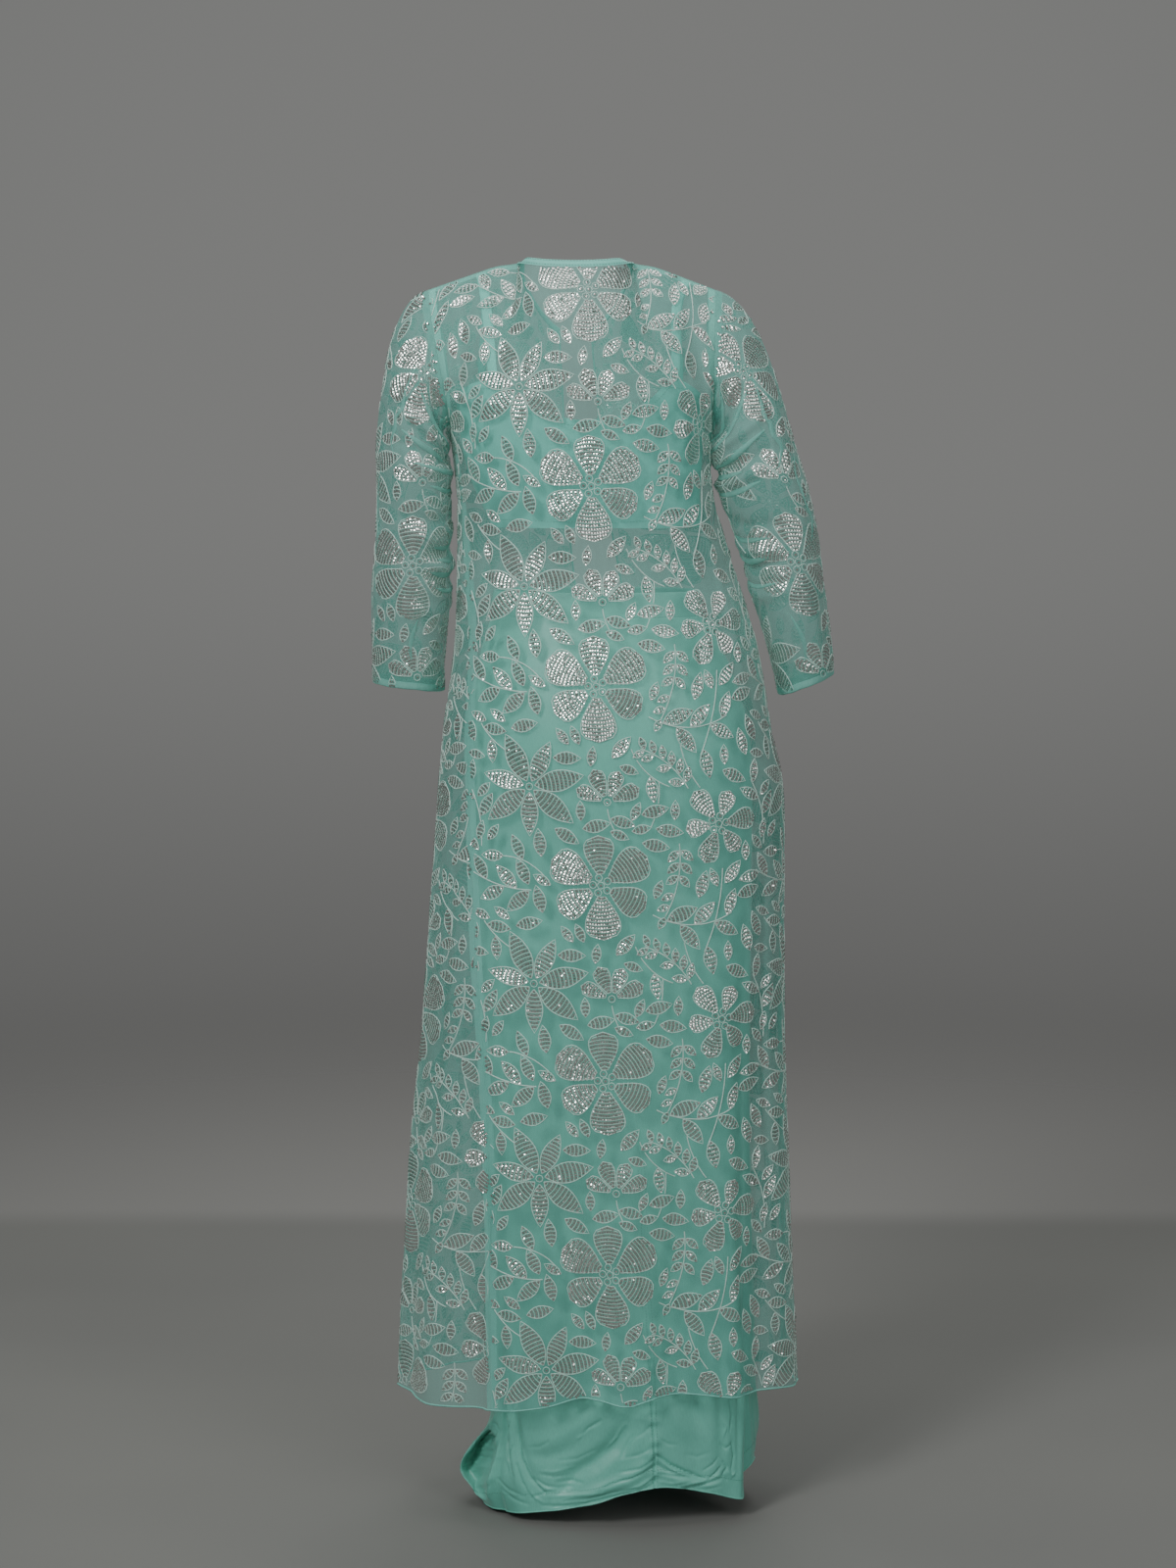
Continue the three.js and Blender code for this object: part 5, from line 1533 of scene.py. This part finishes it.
def sequin_piece(name, ground, v_first, shift):
    """Six-sided cups on every sequin place of a panel."""
    spots = np.concatenate([
        SEQUINS + np.array([u, v, 0.0]) for u, v in repeats(ground, v_first, shift)
    ])
    p, n, a = ground.at(spots[:, 0], spots[:, 1])
    ok = ~np.isnan(p[:, 0])
    p, n, a, spots = p[ok], n[ok], a[ok], spots[ok]
    count = len(p)
    b = np.cross(n, a)
    lean = SEQUIN_LEAN * np.sign(np.cos(spots[:, 2] * 2 + 0.4))
    row = spots[:, 2] + math.pi / 2
    tilt = random.normal(0, SEQUIN_TILT, (count, 2))
    tilt[random.uniform(0, 1, count) < LOOSE_SHARE] *= LOOSE_TILT
    tilt[:, 0] += lean * np.cos(row)
    tilt[:, 1] += lean * np.sin(row) + SEQUIN_WAVE * np.sin(spots[:, 0] / 31.0 + spots[:, 1] / 43.0)
    size = SEQUIN_RADIUS * random.uniform(0.9, 1.06, count)
    turn0 = random.uniform(0, SIXTH, count)
    rim = []
    for k in range(6):
        turn = turn0 + k * SIXTH
        c, s = np.cos(turn), np.sin(turn)
        lift = RIM_LIFT + size * (tilt[:, 0] * c + tilt[:, 1] * s)
        rim.append(p + size[:, None] * (a * c[:, None] + b * s[:, None]) + n * lift[:, None])
    centre = p + n * HEART_LIFT
    vertices = np.stack([centre] + rim, 1).reshape(-1, 3)
    base = np.arange(count)[:, None] * 7
    fan = np.array([[0, 1 + k, 1 + (k + 1) % 6] for k in range(6)])
    faces = (base[:, None] + fan[None]).reshape(-1, 3)
    turns = [(0.0, 0.0)] + [(math.cos(k * SIXTH), math.sin(k * SIXTH)) for k in range(6)]
    uv = (spots[:, None, :2] + SEQUIN_FLAT * np.array(turns)[None]).reshape(-1, 2)
    return build(name, metres(vertices), faces, SEQUIN, uv, shade=False)


def thread_piece(name, ground, v_first, shift):
    """Raised threads, each a left side, a ridge and a right side, along every thread line."""
    flat = np.concatenate([t for t, _ in THREADS])
    wide = np.concatenate([np.full(len(t), w) for t, w in THREADS])
    way = unit(np.concatenate([np.gradient(t, axis=0) for t, _ in THREADS]))
    joins, start = [], 0
    for t, _ in THREADS:
        joins.append(np.arange(start, start + len(t) - 1))
        start += len(t)
    joins = np.concatenate(joins)
    places = list(repeats(ground, v_first, shift))
    total = len(flat)
    spots = np.concatenate([flat + np.array([u, v]) for u, v in places])
    ways = np.tile(way, (len(places), 1))
    wides = np.tile(wide, len(places))
    joined = np.concatenate([joins + k * total for k in range(len(places))])
    p, n, a = ground.at(spots[:, 0], spots[:, 1])
    ok = ~np.isnan(p[:, 0])
    joined = joined[ok[joined] & ok[joined + 1]]
    b = np.cross(n, a)
    t = a * ways[:, :1] + b * ways[:, 1:]
    side = np.cross(n, t)
    half = (wides / 2)[:, None]
    left = p + side * half + n * 0.2
    right = p - side * half + n * 0.2
    ridge = p + n * (0.45 + half)
    used = np.zeros(len(p), bool)
    used[joined] = used[joined + 1] = True
    number = np.cumsum(used) - 1
    vertices = np.stack([left, ridge, right], 1)[used].reshape(-1, 3)
    i, j = number[joined] * 3, number[joined + 1] * 3
    faces = np.concatenate([
        np.stack([i, i + 1, j + 1, j], 1), np.stack([i + 1, i + 2, j + 2, j + 1], 1),
    ])
    across = np.stack([-ways[:, 1], ways[:, 0]], 1)
    uv = np.stack([spots + across * half, spots, spots - across * half], 1)[used].reshape(-1, 2)
    return build(name, metres(vertices), faces, THREAD, uv)


def lapped(ground, lines):
    """Narrow strips of doubled cloth along pinched lines, tapering out at both ends."""
    grids = []
    for width, lift, *places in lines:
        line = smooth_line(np.reshape(places, (-1, 2)), 4.0)
        way = unit(np.gradient(line, axis=0))
        across = np.stack([-way[:, 1], way[:, 0]], 1)
        share = np.linspace(0, 1, len(line))
        swell = np.sin(math.pi * (0.04 + 0.92 * share)) ** 0.7
        rows = []
        for offset, rise in ((-1, 0.3), (-0.8, 0.75), (-0.4, 1.0), (0.2, 0.7), (1, 0.25)):
            spots = line + across * (offset * width * swell)[:, None]
            p, n, _ = ground.at(spots[:, 0], spots[:, 1])
            rows.append(p + n * (0.35 + rise * lift * swell)[:, None])
        grid = np.array(rows)
        good = ~np.isnan(grid).any((0, 2))
        if good.sum() > 3:
            grids.append(grid[:, good])
    return grids


def ground_of(points, normals, grain=None, column=None):
    """A panel's ground, with across counted from its grain line or from one column."""
    u = run_across(points)
    if grain is not None:
        for r in range(len(points)):
            u[r] -= np.interp(grain(points[r].mean(0)[2]), points[r, :, 0], u[r])
    else:
        u -= u[:, column][:, None]
    v = points[..., 2].copy()
    v[LOW_ROWS:] = v[LOW_ROWS] + run_up(points[LOW_ROWS:])
    return Ground(points, normals, u, v)


def back_grain(z):
    """Where the grain line of the back runs across, at a height above the floor."""
    return 28 + (893 - min(z, 1400)) * 0.024


def sleeve_ground(side, plain=False):
    points = np.concatenate([sleeves[side], cuffs[side][1:10]])
    normals = sleeve_normals(points, side)
    u = run_across(points)
    if plain:
        return Ground(points, normals, u, sleeve_rise(points))
    # the back of the sleeve comes first; seen from behind, the pattern reads left to right
    if side == "left":
        points, normals, u = points[:, ::-1], normals[:, ::-1], -u[:, ::-1]
    u = u - u[:, [round(points.shape[1] * (0.72 if side == "left" else 0.3))]]
    return Ground(points, normals, u, sleeve_rise(points))


def sleeve_rise(points):
    """Heights on the arm, and distances along the cloth above it."""
    v = points[..., 2].copy()
    rise = np.linalg.norm(np.diff(points[:CAP_ROWS + 1], axis=0), axis=2)
    v[:CAP_ROWS] = v[CAP_ROWS] + np.cumsum(rise[::-1], 0)[::-1]
    return v


# Pinched folds in the sheer cloth: half a width, a height and the places of a path.
SLEEVE_LAPS = {
    "left": [
        (5.0, 3.2, 3, 1340, 14, 1378, 22, 1420, 26, 1470), (4.0, 2.6, 4, 1330, 30, 1368, 52, 1420),
        (4.2, 2.4, 3, 1316, 40, 1344, 84, 1392), (3.4, 2.2, 3, 1300, 46, 1312, 96, 1340),
        (3.4, 2.2, 2, 1286, 36, 1288, 80, 1300), (3.0, 2.0, 2, 1268, 26, 1264, 56, 1272),
        (3.4, 2.4, 2, 1206, 22, 1196, 50, 1198), (3.6, 2.6, 2, 1190, 20, 1180, 44, 1182),
        (3.4, 2.4, 2, 1172, 24, 1162, 56, 1168), (2.8, 1.8, 3, 1150, 22, 1142, 48, 1148),
        (2.8, 1.6, 104, 1420, 110, 1370, 104, 1310), (2.8, 1.6, 134, 1300, 138, 1240, 132, 1180),
        (2.6, 1.4, 150, 1180, 154, 1130, 150, 1080), (2.6, 1.4, 66, 1110, 72, 1080, 68, 1058),
        (3.4, 2.2, 250, 1330, 276, 1316, 312, 1312), (3.2, 2.2, 236, 1200, 268, 1188, 306, 1192),
    ],
    "right": [
        (5.6, 3.6, 3, 1344, 18, 1378, 32, 1414, 36, 1468), (4.6, 3.0, 4, 1328, 34, 1366, 60, 1420),
        (4.2, 2.6, 3, 1312, 46, 1340, 92, 1394), (3.6, 2.2, 3, 1298, 52, 1310, 102, 1342),
        (5.0, 3.4, 2, 1286, 24, 1282, 58, 1292), (3.4, 2.2, 2, 1262, 40, 1260, 86, 1278),
        (3.4, 2.2, 2, 1214, 30, 1204, 72, 1210), (3.4, 2.4, 2, 1190, 30, 1178, 66, 1186),
        (2.8, 1.8, 3, 1156, 34, 1148, 70, 1156), (3.0, 1.8, 106, 1410, 114, 1350, 106, 1290),
        (2.8, 1.6, 136, 1320, 142, 1250, 134, 1190), (2.6, 1.4, 70, 1116, 78, 1084, 72, 1060),
        (3.4, 2.2, 250, 1320, 282, 1302, 312, 1298), (3.2, 2.2, 236, 1196, 270, 1182, 308, 1186),
    ],
}
laps = []
for side, lines in SLEEVE_LAPS.items():
    laps += lapped(sleeve_ground(side, plain=True), lines)
keep("sleeve_laps", merged("sleeve_lapped_folds", laps, SHEER_SEAM), "jacket_cloth")

# Height of the first row of flowers on the back; the other panels are cut from other places.
FIRST_FLOWER = 797.3
left_ground = ground_of(fronts["left"][:, ::-1], front_n["left"][:, ::-1], column=40)
right_ground = ground_of(fronts["right"], front_n["right"], column=20)
grounds = {
    "back": (ground_of(back, back_n, grain=back_grain), FIRST_FLOWER, 0.0),
    "front_left": (left_ground, FIRST_FLOWER + 70, 40.0),
    "front_right": (right_ground, FIRST_FLOWER - 60, 60.0),
    "sleeve_left": (sleeve_ground("left"), 1176.0, 10.0),
    "sleeve_right": (sleeve_ground("right"), 1180.0, 0.0),
}
for key, (ground, first, shift) in grounds.items():
    keep("sequins_" + key, sequin_piece("sequins_" + key, ground, first, shift), "embroidery")
    keep("threads_" + key, thread_piece("threads_" + key, ground, first, shift), "embroidery")

# Georgette lets light through, so it casts no shadow on what lies behind it.
for key in ("back", "front_left", "front_right", "seams"):
    pieces[key].visible_shadow = False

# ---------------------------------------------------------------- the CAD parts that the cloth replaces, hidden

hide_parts("jacket_back")
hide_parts("jacket_front_left")
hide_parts("jacket_front_right")
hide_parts("jacket_sleeve_left")
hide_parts("jacket_sleeve_right")
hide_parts("sleeve_hem_left")
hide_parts("sleeve_hem_right")
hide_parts("neck_binding")
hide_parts("bodice_back")
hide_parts("bodice_front")
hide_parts("bodice_strap_left")
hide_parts("bodice_strap_right")
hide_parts("skirt_back_left")
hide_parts("skirt_back_right")
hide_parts("skirt_front")
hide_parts("skirt_waistband")

# ---------------------------------------------------------------- floor, light and camera

FLOOR_Z = -1.5225
# The floor is a wide disc with painted light: a darker tone near the part and a paler one
# beyond, standing in for the change of light where a studio floor meets its backdrop. It fades
# into the air of the room.
FLOOR_REACH, FLOOR_FADE = 4.6, 2.0
PAINTED_PALE_REACH, PAINTED_PALE_EDGE = 1.42, 0.16


def faded(tree, source, first, last):
    """0 at the first value and 1 at the last one."""
    span = add(tree, "ShaderNodeMapRange", interpolation_type="SMOOTHSTEP")
    span.inputs["From Min"].default_value = first
    span.inputs["From Max"].default_value = last
    tree.links.new(source, span.inputs["Value"])
    return span.outputs["Result"]


def studio():
    radii = [0.01, 0.6, 1.2, 1.8, 2.6, 3.6, FLOOR_REACH]
    turn = np.linspace(0, 2 * math.pi, 49)
    points = np.array([[(r * math.cos(t), r * math.sin(t), FLOOR_Z) for t in turn] for r in radii])
    mesh = bpy.data.meshes.new("studio")
    faces = grid_faces(*points.shape[:2], flip=True)
    mesh.from_pydata(points.reshape(-1, 3).tolist(), [], faces.tolist())
    material, tree, shader = nodes_of("studio_paper")
    place = add(tree, "ShaderNodeTexCoord")
    split = add(tree, "ShaderNodeSeparateXYZ")
    tree.links.new(place.outputs["Object"], split.inputs["Vector"])
    depth = add(tree, "ShaderNodeMath", operation="ABSOLUTE")
    tree.links.new(split.outputs["Y"], depth.inputs[0])
    # painted light: the floor turns paler from this distance outward and stays darker near the part
    beyond = faded(tree, depth.outputs["Value"], PAINTED_PALE_REACH, PAINTED_PALE_REACH + PAINTED_PALE_EDGE)
    tone = spread(tree, 1.2, (1, 1, 1), 2, 0.5)
    near = tones(tree, tone, (114, 115, 112), (121, 122, 118))
    colour = blend(tree, "MIX", beyond, near, linear(134, 134, 131))
    tree.links.new(colour, shader.inputs["Base Color"])
    shader.inputs["Roughness"].default_value = 0.8
    far = add(tree, "ShaderNodeVectorMath", operation="LENGTH")
    tree.links.new(place.outputs["Object"], far.inputs[0])
    gone = faded(tree, far.outputs["Value"], FLOOR_REACH, FLOOR_FADE)
    tree.links.new(gone, shader.inputs["Alpha"])
    link("studio_floor", mesh, material)


studio()


# name, place, aim and size in metres, power in watts
LIGHTS = [
    ("key", (-1.9, -3.0, 1.6), (0, 0, -0.55), (0.9, 1.3), 97),
    ("fill", (2.4, -3.2, 0.6), (0, 0, -0.7), (1.6, 2.2), 42),
    ("top", (0.0, -0.6, 2.4), (0, 0, -0.8), (2.0, 1.6), 28),
    ("wall", (0.0, 1.0, 2.3), (0, 2.6, -0.2), (3.0, 0.8), 24),
    ("back", (0.5, 2.9, 2.0), (0, 0, -0.7), (2.2, 1.4), 34),
]


def light(name, place, aim, size, power):
    data = bpy.data.lights.new(name, "AREA")
    data.shape = "RECTANGLE"
    data.size, data.size_y = size
    data.energy = power
    lamp = bpy.data.objects.new(name, data)
    bpy.context.scene.collection.objects.link(lamp)
    lamp.location = place
    way = Vector(aim) - Vector(place)
    lamp.rotation_euler = way.to_track_quat("-Z", "Y").to_euler()


for setting in LIGHTS:
    light(*setting)


def room():
    """The room's air: an even grey with a soft glow beyond the part, darker towards the floor."""
    world = bpy.data.worlds.new("studio_air")
    world.use_nodes = True
    tree = world.node_tree
    place = add(tree, "ShaderNodeTexCoord")
    toward = add(tree, "ShaderNodeVectorMath", operation="DOT_PRODUCT")
    toward.inputs[1].default_value = (0.0, 0.998, 0.02)
    tree.links.new(place.outputs["Generated"], toward.inputs[0])
    glow = faded(tree, toward.outputs["Value"], 0.90, 1.0)
    split = add(tree, "ShaderNodeSeparateXYZ")
    tree.links.new(place.outputs["Generated"], split.inputs["Vector"])
    low = faded(tree, split.outputs["Z"], 0.0, -0.24)
    even = blend(tree, "MIX", glow, (0.44, 0.445, 0.435, 1.0), (0.72, 0.725, 0.705, 1.0))
    colour = blend(tree, "MIX", low, even, (0.40, 0.40, 0.39, 1.0))
    tree.links.new(colour, tree.nodes["Background"].inputs["Color"])
    tree.nodes["Background"].inputs["Strength"].default_value = 0.28
    bpy.context.scene.world = world


room()

# lens and sensor in millimetres, place in metres, tilt downward in degrees
CAMERA_LENS, SENSOR_WIDTH = 73.64, 36.0
CAMERA_PLACE, CAMERA_DOWN = (0.015, -3.927, -0.206), 5.93

camera_data = bpy.data.cameras.new("camera")
camera_data.lens = CAMERA_LENS
camera_data.sensor_width = SENSOR_WIDTH
camera = bpy.data.objects.new("camera", camera_data)
bpy.context.scene.collection.objects.link(camera)
camera.location = CAMERA_PLACE
camera.rotation_euler = (math.radians(90 - CAMERA_DOWN), 0, 0)
bpy.context.scene.camera = camera
